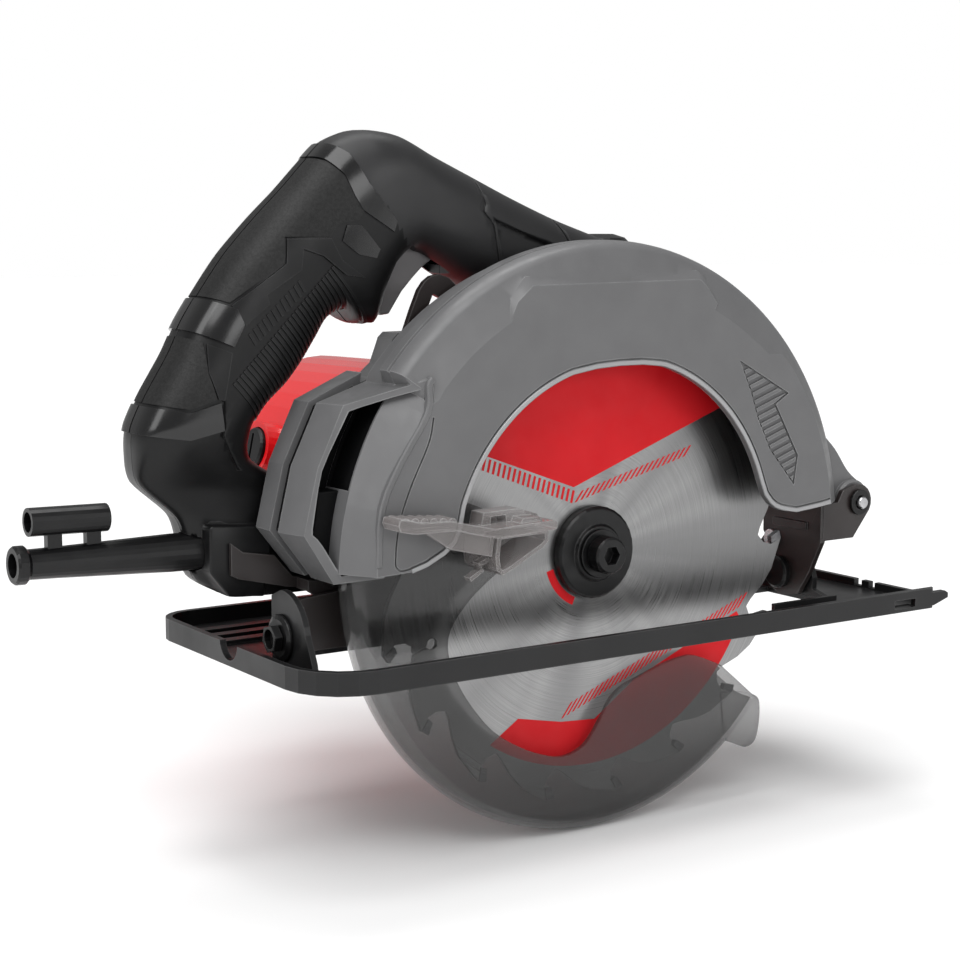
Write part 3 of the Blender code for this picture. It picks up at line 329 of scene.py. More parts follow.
def turned(name, profile, cx, cz, count=96):
    """A ring about an axis along Y. profile is a closed outline of (radius, y)."""
    rings = []
    for i in range(count):
        spots = [(*polar(radius, 360.0 * i / count, cx, cz), y) for radius, y in profile]
        rings.append([(x, y, z) for x, z, y in spots])
    return loft(name, rings, loop=True)


def combine(item, tools, operation):
    """Applies one boolean per tool and removes the tools."""
    for tool in tools:
        change = item.modifiers.new(operation.lower(), "BOOLEAN")
        change.operation = operation
        change.solver = "EXACT"
        change.object = tool
    bpy.context.view_layer.update()
    graph = bpy.context.evaluated_depsgraph_get()
    mesh = bpy.data.meshes.new_from_object(item.evaluated_get(graph))
    item.modifiers.clear()
    item.data = mesh
    for tool in tools:
        bpy.data.objects.remove(tool)
    mesh.shade_smooth()
    mesh.set_sharp_from_angle(angle=math.radians(SHARP_ANGLE))
    return item


def cut(item, *tools):
    return combine(item, tools, "DIFFERENCE")


def fuse(item, *tools):
    return combine(item, tools, "UNION")


def common(item, *tools):
    return combine(item, tools, "INTERSECT")


def softened(item, width, segments=2, angle=30.0):
    """Rounds the hard edges by width, in millimetres."""
    weld = item.modifiers.new("weld", "WELD")
    weld.merge_threshold = 0.00001
    bevel = item.modifiers.new("edges", "BEVEL")
    bevel.width = width * MM
    bevel.segments = segments
    bevel.limit_method = "ANGLE"
    bevel.angle_limit = math.radians(angle)
    bevel.use_clamp_overlap = True
    even = item.modifiers.new("flat_faces", "WEIGHTED_NORMAL")
    even.weight = 50
    even.keep_sharp = True
    return item


def inset(outline, distance):
    """The closed outline moved inwards by distance."""
    count = len(outline)
    area = sum(outline[i - 1][0] * outline[i][1] - outline[i][0] * outline[i - 1][1] for i in range(count))
    sign = 1.0 if area > 0 else -1.0
    moved = []
    for i in range(count):
        here = Vector(outline[i])
        before = (here - Vector(outline[i - 1])).normalized()
        after = (Vector(outline[(i + 1) % count]) - here).normalized()
        normal = Vector((-before.y - after.y, before.x + after.x)).normalized() * sign
        stretch = max(0.4, normal.dot(Vector((-before.y, before.x)) * sign))
        moved.append(tuple(here + normal * (distance / stretch)))
    return moved


def strip(name, path, d0, d1, y0, y1, finish=None, body=None):
    """A bar that follows an open path on the face, from d0 to d1 to the path's left."""
    rings = []
    for i, point in enumerate(path):
        before = Vector(path[max(i - 1, 0)])
        after = Vector(path[min(i + 1, len(path) - 1)])
        way = (after - before).normalized()
        side = Vector((-way.y, way.x))
        inner, outer = Vector(point) + side * d0, Vector(point) + side * d1
        rings.append([(inner.x, y0, inner.y), (outer.x, y0, outer.y),
                      (outer.x, y1, outer.y), (inner.x, y1, inner.y)])
    return loft(name, rings, finish, body=body)


def smoothed(path, count=4):
    """A Catmull-Rom curve through the points of an open path."""
    points = [Vector(p) for p in path]
    points = [points[0] * 2 - points[1]] + points + [points[-1] * 2 - points[-2]]
    made = []
    for i in range(1, len(points) - 2):
        p0, p1, p2, p3 = points[i - 1:i + 3]
        for k in range(count):
            t = k / count
            made.append(tuple(0.5 * (2 * p1 + (p2 - p0) * t + (2 * p0 - 5 * p1 + 4 * p2 - p3) * t * t
                                     + (3 * p1 - p0 - 3 * p2 + p3) * t ** 3)))
    return made + [tuple(points[-2])]


# Upper guard.

# angle, radius of the flat face's outer edge
FACE_EDGE = ((6.0, 104.0), (41, 104.0), (42.5, 103.4), (45, 99.6), (52, 98.6), (63, 98.0), (118, 98.0),
             (130, 98.2), (139, 98.2), (145.5, 97.2), (156, 98.8), (166, 100.4), (178.3, 99.6))
GUARD_START, GUARD_END = 6.0, 178.3
BADGE = ((-46.6, 82.0), (-45.9, 86.9), (-43.7, 91.6), (-37.4, 97.0), (35.9, 97.8), (38.8, 95.6), (44.2, 88.8),
         (40.0, 82.0))
BADGE_STEPS = ((-17.0, 0.0), (-13.8, 3.0), (-6.0, 3.4))
PORT_LIP = ((-77.6, 67.4), (-79.2, 65.0), (-79.8, 56.0), (-90.3, 40.2), (-97.6, 25.2), (-99.0, 6.0))
CHIP_WAY_Y = -5.0
NECK_BACK = 16.8
# Behind this angle the wall slopes like a cone down to the chip port.
CONE_START, CONE_RADIUS, CONE_DEPTH = 142, 107.8, 11.0
DUCT_FLARE = 3.2
DUCT_RIM = ((-78.0, -17.0, 67.5), (-102.0, 0.0, 58.5), (-112.0, 0.0, 38.0), (-117.3, 0.0, 16.0),
            (-108.0, -3.0, -0.6), (-97.0, -17.0, 2.6), (-93.5, -17.0, 22.0), (-87.0, -17.0, 36.0),
            (-76.0, -17.0, 53.0))
# y, how far from the face's edge to the barrel, barrel radius
BARREL = ((-17.0, -0.12, 109.6), (-16.6, 0.0, 109.6), (-14.8, 0.48, 109.6), (-13.0, 0.92, 109.6),
          (-11.6, 1.0, 110.4), (-9.6, 1.0, 111.3), (-7.6, 1.0, 111.8), (-5.9, 1.0, 112.0), (-5.5, 1.0, 111.1),
          (-4.5, 1.0, 111.1), (-4.1, 1.0, 112.0), (0.3, 1.0, 112.0), (0.9, 1.0, 111.5), (1.4, 1.0, 108.5),
          (BACK_Y, 1.0, 108.5))


def face_edge(angle):
    """The radius of the face's outer edge at an angle."""
    for (a0, r0), (a1, r1) in zip(FACE_EDGE, FACE_EDGE[1:]):
        if angle <= a1:
            return r0 + (r1 - r0) * (angle - a0) / (a1 - a0)
    return FACE_EDGE[-1][1]


def guard_shell():
    angles = sorted({GUARD_START + 1.2 * i for i in range(144)} | {float(a) for a, _ in FACE_EDGE})
    angles = [a for a in angles if a <= GUARD_END]
    rings = []
    for y, barrel_share, barrel in BARREL:
        ring = []
        for angle in angles:
            share, full = barrel_share, barrel
            if angle >= CONE_START:
                share = min(1.0, max(0.0, (y - FACE_Y) / CONE_DEPTH))
                full = min(barrel, CONE_RADIUS)
            edge = face_edge(angle)
            x, z = polar(edge + (full - edge) * share, angle)
            ring.append((x, y, z))
        rings.append(ring)
    return loft("guard_casting", rings, CAST)


def duct_outline(flare=0.0):
    return [(x - flare if x < -100.0 and z > 10.0 else x, z) for x, _, z in DUCT_RIM]


def guard_duct():
    back = [(x, BACK_Y, z) for x, z in duct_outline(DUCT_FLARE)]
    step = [(x, BACK_Y - 4.6, z) for x, z in duct_outline(0.75 * DUCT_FLARE)]
    outer = loft("duct_outside", [list(DUCT_RIM), step, back])
    inner = inset(duct_outline(), 2.6)
    mouth = [(x, y - 4.0, z) for (x, z), (_, y, _) in zip(inner, DUCT_RIM)]
    room = [(x, BACK_Y - 2.6, z) for x, z in inset(duct_outline(0.9 * DUCT_FLARE), 2.6)]
    # The duct's hollow takes the near-black painted shade; its outside keeps the casting's finish.
    return cut(cast_and_painted_shade(outer, 0), cast_and_painted_shade(loft("duct_hollow", [mouth, room]), 1))


def cast_and_painted_shade(item, index):
    """Gives a piece the casting's finish and its near-black painted shade, and all its faces one of them."""
    item.data.materials.clear()
    item.data.materials.append(CAST)
    item.data.materials.append(CAST_PAINTED_SHADE)
    for face in item.data.polygons:
        face.material_index = index
    return item


def guard_badge():
    rings = [[(x, y, z) for x, z in inset(BADGE, -out)] for y, out in BADGE_STEPS]
    return loft("guard_badge", rings)


def window_outline():
    points = [(-104.0, -12.0), (-86.0, 2.9), (-80.0, 4.6), (-73.0, 8.0), (-69.0, 11.2), (-66.5, 15.5)]
    points += arc(69.0, 160, 107, 40)
    points += [(-10.0, 67.6), (0.0, 68.2), (10.0, 68.2), (18.0, 67.4)]
    points += arc(70.0, 73, 22, 40)
    points += [(66.6, 21.8), (68.6, 17.0), (71.5, 13.6), (74.0, 11.8), (77.0, 10.6), (81.0, 9.7), (85.0, 9.0)]
    return points + [(85.0, -12.0)]


ARROW = ((55.4, 67.9), (79.9, 54.6), (73.5, 50.8), (85.1, 30.9), (83.4, 19.6), (71.0, 33.7), (64.6, 46.0),
         (61.0, 56.0))
LOBE_LINE = ((-77.5, 54.5), (-79.5, 46.0), (-86.5, 32.0), (-91.0, 20.0), (-92.6, 8.0), (-91.6, 4.9),
             (-88.6, 4.4), (-80.0, 6.4), (-74.0, 9.6), (-69.5, 13.6))
# radius, y of the room for the blade
CAVITY = ((94.5, -14.5), (96.5, -8.2), (104.4, -7.2), (105.5, -6.0), (105.5, 10.0))


def flat_front(item):
    """Turns smooth shading off on the flat front, so that it reads as one machined plane."""
    for face in item.data.polygons:
        if face.normal.y < -0.999:
            face.use_smooth = False


def make_guard():
    item = cast_and_painted_shade(guard_shell(), 0)
    fuse(item, guard_badge())
    fuse(item, guard_duct())
    cavity = loft("guard_cavity", [[(x, y, z) for x, z in arc(r, 0, 357, 120)] for r, y in CAVITY])
    back_lobe = turned("guard_back_lobe", [(15.0, 9.8), (25.0, 9.8), (25.0, BACK_Y), (15.0, BACK_Y)], 0, 0)
    arm_top = smoothed([(96, 47), (105, 38), (113, 30.5), (120, 21.5), (127, 16)], 4)
    arm = along_y("pivot_arm", arm_top + [(125, 6), (115, 6), (107, 12), (97, 12)], -7.8, 7.0)
    boss = turned("pivot_boss", [(1.0, -10.0), (7.6, -10.0), (8.4, -9.2), (8.4, 17.6), (1.0, 17.6)],
                  PIVOT_X, PIVOT_Z, 48)
    cut(item, cavity)
    fuse(item, back_lobe, arm, boss)
    window = window_outline()
    edge = (window[1:-1] + [(92.0, 9.6), (98.0, 10.2), (102.6, 10.9)])[::-1]
    cut(item, along_y("guard_window", window, -19.0, -11.0))
    cut(item, along_y("nose_hole", arc(17.1, 0, 355, 72), 8, 14))
    chip_way = arc(106.4, 144, 163.5, 12) + arc(108.4, 163.5, 144, 12)
    # The chip way's walls take the near-black painted shade, so the cavity behind the port reads dark.
    cut(item, cast_and_painted_shade(along_y("chip_way", chip_way, CHIP_WAY_Y, 9.8), 1))
    cut(item, along_y("pivot_hole", arc(2.8, 0, 348, 30, PIVOT_X, PIVOT_Z), -12, 20))
    cut(item, strip("window_groove", edge, -2.5, -1.9, -19.0, FACE_Y + 0.7))
    cut(item, strip("lobe_groove", smoothed(LOBE_LINE, 5), -0.35, 0.35, -19.0, FACE_Y + 0.8))
    cut(item, along_y("arrow_recess", ARROW, -19.0, FACE_Y + 1.0))
    bars = []
    for k in range(17):
        x0, z0 = 52.0 + 1.6 * k, 60.5 - 2.75 * k
        rib = [(x0, z0), (x0 + 22.0, z0 + 7.6), (x0 + 21.6, z0 + 9.0), (x0 - 0.4, z0 + 1.4)]
        bar = along_y("arrow_bar_%d" % k, rib, FACE_Y + 0.25, FACE_Y + 1.4)
        bars.append(common(bar, along_y("arrow_room", inset(ARROW, 0.7), -19.0, -14.0)))
    kept = [bar for bar in bars if len(bar.data.polygons)]
    for bar in bars:
        if bar not in kept:
            bpy.data.objects.remove(bar)
    ribs = join("guard_arrow_ribs", kept, CAST)
    ride_as(ribs, "saw_body")
    softened(item, 0.45, 3, 40.0)
    flat_front(item)
    # The duct's neck behind the guard is near-black: painted shade deep in the chip port.
    neck = along_y("duct_neck", inset(duct_outline(DUCT_FLARE), 1.6), BACK_Y + 0.1, NECK_BACK, CAST_PAINTED_SHADE,
                   "saw_body")
    cut(neck, along_y("neck_room", inset(duct_outline(DUCT_FLARE), 3.0), BACK_Y - 2.0, NECK_BACK + 2.0))
    neck.data.materials.clear()
    neck.data.materials.append(CAST_PAINTED_SHADE)
    # A near-black ledge inside the port: painted shade.
    ledge = along_y("port_ledge", [(-113.6, 14.5), (-111.0, 30.0), (-101.0, 30.0), (-104.6, 3.0)], 1.2, 9.6,
                    CAST_PAINTED_SHADE, "saw_body")
    softened(ledge, 0.5)
    rim = strip("port_lip", smoothed(PORT_LIP, 3), -0.9, 1.3, FACE_Y - 0.35, FACE_Y + 2.2, CAST, "saw_body")
    softened(rim, 0.5)
    ride_as(item, "saw_body")
    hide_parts("upper_guard")
    # The lip along the window's edge is lighter than the casting: a painted highlight.
    lip = strip("guard_window_lip", edge, -1.7, -0.15, FACE_Y - 0.3, FACE_Y + 0.3, CAST_PAINTED_HIGHLIGHT, "saw_body")
    softened(lip, 0.2)


def ride_as(item, body):
    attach(item, body)


def join(name, items, finish):
    """One object from several, with a single finish."""
    bm = bmesh.new()
    for item in items:
        bm.from_mesh(item.data)
        bpy.data.objects.remove(item)
    return new_piece(name, bm, [finish])


# Lower guard.

# angle, radius of the see-through cover's inner edge
LOWER_INNER = ((158, 38), (165, 38), (173, 38), (180, 41), (186, 49), (192, 59), (199, 68.6), (207, 72),
               (215, 73.2), (223, 74), (232, 75), (241, 75), (250, 75), (258, 74.4), (265, 70), (271, 61),
               (276, 54.5), (283, 51.5), (292, 51.5), (299, 52.4), (306, 54.5), (312, 58), (316, 62),
               (319, 71), (320, 76))
LOWER_PROFILE = ((-4.3, -6.4), (-2.7, -5.6), (-1.4, -4.4), (-0.5, -3.0), (0.0, 0.5), (-0.5, 4.5), (-1.9, 7.5))
LOWER_INSIDE = ((-3.4, 5.7), (-2.1, 2.4), (-2.1, -2.4), (-4.4, -4.6))
LOWER_RADIUS = 102.3
LOWER_TIP = ((60, -60), (70.0, -61.0), (76.5, -63.4), (78.0, -68), (77.4, -76), (75.4, -81), (71, -82.5),
             (66, -80.6), (62, -79))


def make_lower_guard():
    rings = []
    for angle, inner in smoothed(LOWER_INNER, 5):
        profile = [(inner, -6.4)] + [(LOWER_RADIUS + d, y) for d, y in LOWER_PROFILE]
        profile += [(22.0, 7.5), (22.0, 5.7)]
        profile += [(LOWER_RADIUS + d, y) for d, y in LOWER_INSIDE] + [(inner, -4.6)]
        ring = []
        for radius, y in profile:
            x, z = polar(radius, angle)
            ring.append((x, y, z))
        rings.append(ring)
    item = loft("lower_guard_shell", rings, SMOKE)
    hub = turned("lower_guard_hub", [(17.4, 5.7), (26.0, 5.7), (26.0, 7.5), (17.4, 7.5)], 0, 0)
    lip = along_y("lower_guard_lip", smoothed(LOWER_TIP, 4), -6.2, -3.4)
    fuse(item, hub, lip)
    item.data.materials.clear()
    item.data.materials.append(SMOKE)
    item.data.materials.append(SMOKE_PAINTED_HIGHLIGHT)
    centre = Vector(ARBOR)
    # Faces near the outer rim and at the tip take the lighter smoked copy: a painted highlight.
    for face in item.data.polygons:
        away = face.center - centre
        reach = math.hypot(away.x, away.z) / MM
        face.material_index = 1 if reach > 98.2 or face.center.x > 0.0685 and face.center.z < -0.03 else 0
    softened(item, 0.3, 2, 50.0)
    ride_as(item, "swing_guard")
    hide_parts("lower_guard")


# Blade prints and tips.

PRINT_Y0, PRINT_Y1 = -0.96, -0.88
TEETH, FIRST_TOOTH = 18, 197.8


def clipped(name, outline, y0, y1, finish, inner=17.6, outer=79.0):
    """A thin print on the blade: the outline within a ring about the arbor."""
    item = along_y(name, outline, y0, y1, finish)
    profile = [(inner, y0 - 1), (outer, y0 - 1), (outer, y1 + 1), (inner, y1 + 1)]
    common(item, turned(name + "_ring", profile, 0, 0, 120))
    item.data.materials.clear()
    item.data.materials.append(finish)
    return item


def slanted(name, start, end, count, length, lean, width):
    """A row of slanted stripes printed between two points."""
    items = []
    a, b = Vector(start), Vector(end)
    way = (b - a) / (count - 1)
    across = Vector((math.cos(math.radians(lean)), math.sin(math.radians(lean)))) * length
    along = way.normalized() * width
    for k in range(count):
        p = a + way * k
        corners = [p, p + along, p + along + across, p + across]
        items.append(along_y("%s_%d" % (name, k), [tuple(c) for c in corners], PRINT_Y0, PRINT_Y1))
    return items


def make_prints():
    top = [(-70.0, 46.6), (-8.0, 24.0), (90.0, 60.0), (90.0, 100.0), (-70.0, 100.0)]
    low = [(-45.0, -66.0), (-32.0, -57.6), (-13.0, -61.5), (2.0, -62.5), (20.0, -50.5), (70.0, -30.0),
           (90.0, -60.0), (30.0, -95.0), (-60.0, -95.0)]
    pieces = [clipped("print_top", top, PRINT_Y0, PRINT_Y1, PRINT),
              clipped("print_low", low, PRINT_Y0, PRINT_Y1, PRINT)]
    stripes = slanted("stripe_a", (-52.0, 34.6), (-9.6, 18.6), 21, 4.6, 76, 1.0)
    stripes += slanted("stripe_b", (-7.6, 18.4), (42.0, 31.4), 21, 5.2, 52, 1.1)
    stripes += slanted("stripe_c", (-13.0, -60.4), (70.0, -29.0), 36, 7.0, 52, 1.1)
    made = join("blade_print", pieces + stripes, PRINT)
    ride_as(made, "blade_set")
    arrow = along_y("arrow_print", arc(20.6, 196, 246, 14) + arc(17.6, 246, 196, 14), PRINT_Y0, PRINT_Y1)
    marks = join("blade_arrow_print", [arrow], PRINT)
    ride_as(marks, "blade_set")


def make_tips():
    tips = []
    for k in range(TEETH):
        turn = FIRST_TOOTH + 20.0 * k
        outline = [polar(91.9, turn + 0.05), polar(87.2, turn - 1.1), polar(86.9, turn + 0.5),
                   polar(90.9, turn + 1.9)]
        tips.append(along_y("tip_%d" % k, outline, -1.15, 1.15))
    ride_as(join("carbide_tips", tips, CARBIDE), "blade_set")


# Handle.

HANDLE_SECTIONS = (
    # rear or upper point, front or lower point, right half-width, left half-width
    (-127, -9, -57.5, -9, 6.6, 20),
    (-139.5, -1.6, -62, -1, 7.0, 22),
    (-142.5, 10, -66.3, 11, 7.0, 23),
    (-146, 20, -66.6, 22, 7.0, 23),
    (-159, 32, -96, 27, 7.0, 21),
    (-161, 42, -119, 38, 12.5, 18),
    (-160.4, 51, -120, 49, 16.0, 17),
    (-155.3, 61.5, -115, 57, 16.5, 16.5),
    (-147, 74.7, -107, 64, 16.5, 16.5),
    (-141.5, 85.4, -101, 71, 16.5, 16.5),
    (-134.2, 96.2, -95.5, 79, 16.5, 16.5),
    (-125.3, 107.9, -91, 85.5, 16.5, 16.5),
    (-114.2, 119.5, -84, 88.5, 16.5, 16.5),
    (-104, 129.2, -79, 84.2, 16.0, 16.0),
    (-95, 138.4, -71.5, 82.6, 16.0, 16.0),
    (-86.9, 145.8, -68, 90.5, 16.5, 16.5),
    (-75.5, 149.9, -62, 103, 17.5, 17.5),
    (-62.3, 148.6, -55, 107.5, 18.5, 18.5),
    (-48.8, 142.2, -46, 103.5, 19.0, 19.0),
    (-34.8, 136.1, -36, 97.5, 19.0, 19.0),
    (-15.9, 127.8, -22, 92.0, 19.0, 19.0),
    (3.2, 120.0, 0, 90.0, 19.0, 19.0),
    (22, 113.6, 20.5, 90.0, 19.0, 19.0),
)
STEPS_BETWEEN = 6
SECTION_POINTS = 30
# The grip and the arm's start, as places in the list of fine sections.
GRIP_START, GRIP_END = 28, 108
# Below 1 it makes a section squarer than an ellipse.
ROUNDNESS = 0.72
SEAM_GAP = 0.15


def fine_sections():
    """The sections with others between them, on Catmull-Rom curves that are held back at sharp turns."""
    rows = []
    last = len(HANDLE_SECTIONS) - 1
    for i in range(last):
        before = HANDLE_SECTIONS[max(i - 1, 0)]
        a, b = HANDLE_SECTIONS[i], HANDLE_SECTIONS[i + 1]
        after = HANDLE_SECTIONS[min(i + 2, last)]
        for k in range(STEPS_BETWEEN):
            t = k / STEPS_BETWEEN
            row = []
            for p, q, r, s in zip(before, a, b, after):
                bend0, bend1 = 0.4 * (r - p), 0.4 * (s - q)
                row.append((2 * t ** 3 - 3 * t * t + 1) * q + (t ** 3 - 2 * t * t + t) * bend0
                           + (-2 * t ** 3 + 3 * t * t) * r + (t ** 3 - t * t) * bend1)
            rows.append(row)
    rows.append(list(HANDLE_SECTIONS[-1]))
    return rows


def half_section(row, side, grow):
    """One half of a handle section, grown outwards."""
    a, b = Vector(row[:2]), Vector(row[2:4])
    width = row[4] if side < 0 else row[5]
    middle = (a + b) / 2
    reach = (a - b).length / 2 + grow
    way = (a - b).normalized()
    points = []
    for i in range(SECTION_POINTS + 1):
        turn = math.pi * i / SECTION_POINTS
        along = math.copysign(abs(math.cos(turn)) ** ROUNDNESS, math.cos(turn)) * reach
        out = abs(math.sin(turn)) ** ROUNDNESS * (width + grow)
        spot = middle + way * along
        points.append((spot.x, SEAM_Y + side * (out + SEAM_GAP), spot.y))
    return points


def handle_shell(name, side, grow, wall, first=0, last=None):
    """A wall that follows one handle half, between two of its fine sections."""
    rings = []
    for row in fine_sections()[first:last]:
        rings.append(half_section(row, side, grow) + half_section(row, side, grow - wall)[::-1])
    return loft(name, rings)


def prism(name, outline, side):
    """The outline, all the way through one handle half."""
    y0, y1 = (-10.0, SEAM_Y - 0.4) if side < 0 else (SEAM_Y + 0.4, 90.0)
    return along_y(name, outline, y0, y1)


def within(x, z, outline):
    """Whether a point lies inside a closed outline."""
    inside = False
    for i in range(len(outline)):
        (x0, z0), (x1, z1) = outline[i - 1], outline[i]
        if (z0 > z) != (z1 > z) and x < x0 + (x1 - x0) * (z - z0) / (z1 - z0):
            inside = not inside
    return inside


GRIP_UPPER = ((-112, 150.0), (-101, 143.5), (-92, 139), (-87, 134), (-84, 127), (-81, 122), (-83, 119),
              (-90, 118), (-94, 113.5), (-110.6, 113.5), (-111.6, 105.4), (-131, 92), (-146, 97.5),
              (-162, 103.5))
GRIP_LOWER = ((-162, 88), (-140.5, 79.2), (-140, 69), (-137.5, 60.5), (-147, 57.6), (-165, 60.6), (-180, 63))
RING_MIDDLE = ((-164, 103.4), (-146, 96.6), (-129, 90), (-127, 84.6), (-131, 77.6), (-150, 86), (-166, 93))
RING_TOP = ((-114, 151.2), (-101, 144.2), (-92, 139.7), (-87.3, 134.5), (-84.4, 127.4), (-81.4, 122.4),
            (-69.5, 115), (-68.5, 118.6), (-79, 131.5), (-84.6, 141.6), (-90, 146), (-98, 153))
RING_FOOT = ((-182, 62.2), (-165, 59.6), (-147, 56.6), (-136.4, 59.4), (-135, 50), (-147, 47.4), (-165, 50),
             (-182, 52))
ACCENT = ((-110, 112.9), (-93.7, 112.9), (-89.6, 105.5), (-80.4, 99.4), (-88, 100.4), (-97, 107),
          (-104.6, 109.4), (-105.6, 102.4), (-118.6, 94.4), (-117.6, 91.4), (-126.6, 84.4), (-130.6, 91.2),
          (-111.2, 104.6))
HEXAGON = ((-87.4, 117.4), (-82, 117.4), (-74.6, 109), (-76, 106), (-83, 107.3), (-89.4, 112))
CHEEK = ((-140, 69.4), (-139.6, 78.8), (-131.6, 75.6), (-134.8, 60), (-137, 60.4))
ARM_ZONE = ((-97, 160), (-90, 146), (-84.6, 141.4), (-79, 131), (-69, 118), (-60, 108), (-40, 80), (60, 80),
            (60, 160))
OVERLAYS = (
    # name, outline, how far proud, finish
    ("grip_upper", GRIP_UPPER, 0.45, RUBBER),
    ("grip_lower", GRIP_LOWER, 0.45, RUBBER),
    ("ring_middle", RING_MIDDLE, 0.95, GLOSS),
    ("ring_top", RING_TOP, 0.8, GLOSS),
    ("ring_foot", RING_FOOT, 0.9, GLOSS),
    ("accent", ACCENT, 0.7, BLACK),
    ("hexagon", HEXAGON, 0.5, GLOSS),
    ("cheek", CHEEK, 0.6, BLACK),
)
OVERLAY_WALL = 1.1


def overlays(side, tag):
    """Grip panels, rings and accents that stand a little proud of one handle half."""
    body, slot = "saw_body", "black_nylon"
    for name, outline, grow, finish in OVERLAYS:
        wall = handle_shell(name + tag, side, grow, OVERLAY_WALL, GRIP_START, GRIP_END)
        panel = common(wall, prism("room", outline, side))
        panel.data.materials.clear()
        panel.data.materials.append(finish)
        softened(panel, 0.25, 2, 40.0)
        ride_as(panel, body)
    fine, hatch = [], []
    for k in range(30):
        x, z = -94.0 - 1.3 * k, 103.0 - 1.3 * k
        fine.append(((x, z), (x + 0.75, z + 0.6), (x + 19.0, z - 19.4), (x + 18.25, z - 20.0)))
    for k in range(12):
        x, z = -107.0 - 1.7 * k, 98.6 - 1.55 * k
        hatch.append(((x, z), (x + 0.85, z + 0.4), (x + 3.2, z - 3.4), (x + 2.35, z - 3.8)))
    for name, bars, grow in (("grip_ribs", fine, 0.5), ("grip_hatch", hatch, 0.35)):
        tool = join("bars", [prism("bar", bar, side) for bar in bars], BLACK)
        ribs = common(handle_shell(name + tag, side, grow, OVERLAY_WALL, GRIP_START, GRIP_END), tool)
        ribs.data.materials.clear()
        ribs.data.materials.append(BLACK)
        ride_as(ribs, body)


def engraved(item, side, outlines, depth):
    """Grooves and recesses of an even depth in the handle's curved skin."""
    for outline in outlines:
        room = handle_shell("groove", side, 1.0, 1.0 + depth, GRIP_START)
        cut(item, common(room, prism("groove_room", outline, side)))


def ribbon(path, width):
    """The outline of a narrow band along a path."""
    left, right = [], []
    for i, (x, z) in enumerate(path):
        a, b = path[max(i - 1, 0)], path[min(i + 1, len(path) - 1)]
        way = Vector((b[0] - a[0], b[1] - a[1])).normalized() * (width / 2)
        left.append((x - way.y, z + way.x))
        right.append((x + way.y, z - way.x))
    return left + right[::-1]


ARM_SEAM = ((-35.0, 140.0), (-33.5, 131.6), (-32.2, 124.7), (-33.3, 121.8), (-29.3, 117.1), (-26.8, 104.7),
            (-26, 92))
ARM_SEAM_FRONT = ((-2.0, 126.0), (1.4, 117.6), (4.0, 111.6), (6.0, 100.0))
ARM_RECESS = ((-28.6, 119.2), (-4.6, 110.4), (8.0, 105.0), (8.0, 98.0), (-24.0, 98.0), (-25.6, 107.0))
GRIP_SEAM = ((-140, 69.4), (-134.8, 60), (-134.8, 48), (-126, 34))
CORD_GLAND = ((-138.2, 16.6), (-138.2, 1.5), (-131.5, -7.0), (-118.0, -8.4), (-114.0, 15.6), (-137.2, 17.6))
TRIGGER_SCALLOP = ((-59.4, 110.4), (-66.3, 104.6), (-70.4, 95.2), (-70.4, 87.0), (-64.0, 85.4), (-49.0, 84.0),
                   (-49.0, 104.4))


def below_top(item):
    """Holds a handle half, whose curves swell between their points, under the top of the CAD model."""
    for vertex in item.data.vertices:
        vertex.co.z = min(vertex.co.z, CAD_HIGH.z)
    return item


def make_handle_half(name, side, node):
    item = below_top(handle_shell(name, side, 0.0, 3.0))
    trigger_way = [(-84, 80), (-40, 80), (-40, 114), (-84, 114)]
    tools = [along_y("trigger_way", trigger_way, SEAM_Y - 7.0, SEAM_Y + 7.0)]
    near, far = (SEAM_Y - 24.0, SEAM_Y - 6.9) if side < 0 else (SEAM_Y + 6.9, SEAM_Y + 24.0)
    tools.append(along_y("trigger_scallop", TRIGGER_SCALLOP, near, far))
    ring = [polar(6.9, 12.0 * i, SEAM_Y, 7.8) for i in range(30)]
    if side < 0:
        gland = along_y("cord_gland", CORD_GLAND, 27.3, SEAM_Y - SEAM_GAP)
        softened(gland, 1.4, 3)
        fuse(item, gland)
    else:
        for x, z in ((-118.0, 8.0), (-127.0, 76.0), (-28.0, 114.0)):
            tools.append(along_y("screw_way", arc(3.1, 0, 345, 24, x, z), SEAM_Y + 5, SEAM_Y + 40))
    tools.append(along_x("cord_way", ring, -156, -126))
    cut(item, *tools)
    engraved(item, side, [ribbon(ARM_SEAM, 0.7), ribbon(ARM_SEAM_FRONT, 0.7), ribbon(GRIP_SEAM, 0.6)], 0.6)
    engraved(item, side, [ARM_RECESS], 1.9)
    item.data.materials.clear()
    item.data.materials.append(BLACK)
    item.data.materials.append(ARM)
    for face in item.data.polygons:
        x, z = face.center.x / MM, face.center.z / MM - ARBOR_HEIGHT
        face.material_index = 1 if within(x, z, ARM_ZONE) else 0
    ride_as(item, "saw_body")
    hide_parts(node)
    ends = fine_sections()
    plug = loft(name + "_end", [half_section(row, side, -2.7) for row in (ends[-4], ends[-2])], BLACK)
    ride_as(plug, "saw_body")
    overlays(side, "_right" if side < 0 else "_left")


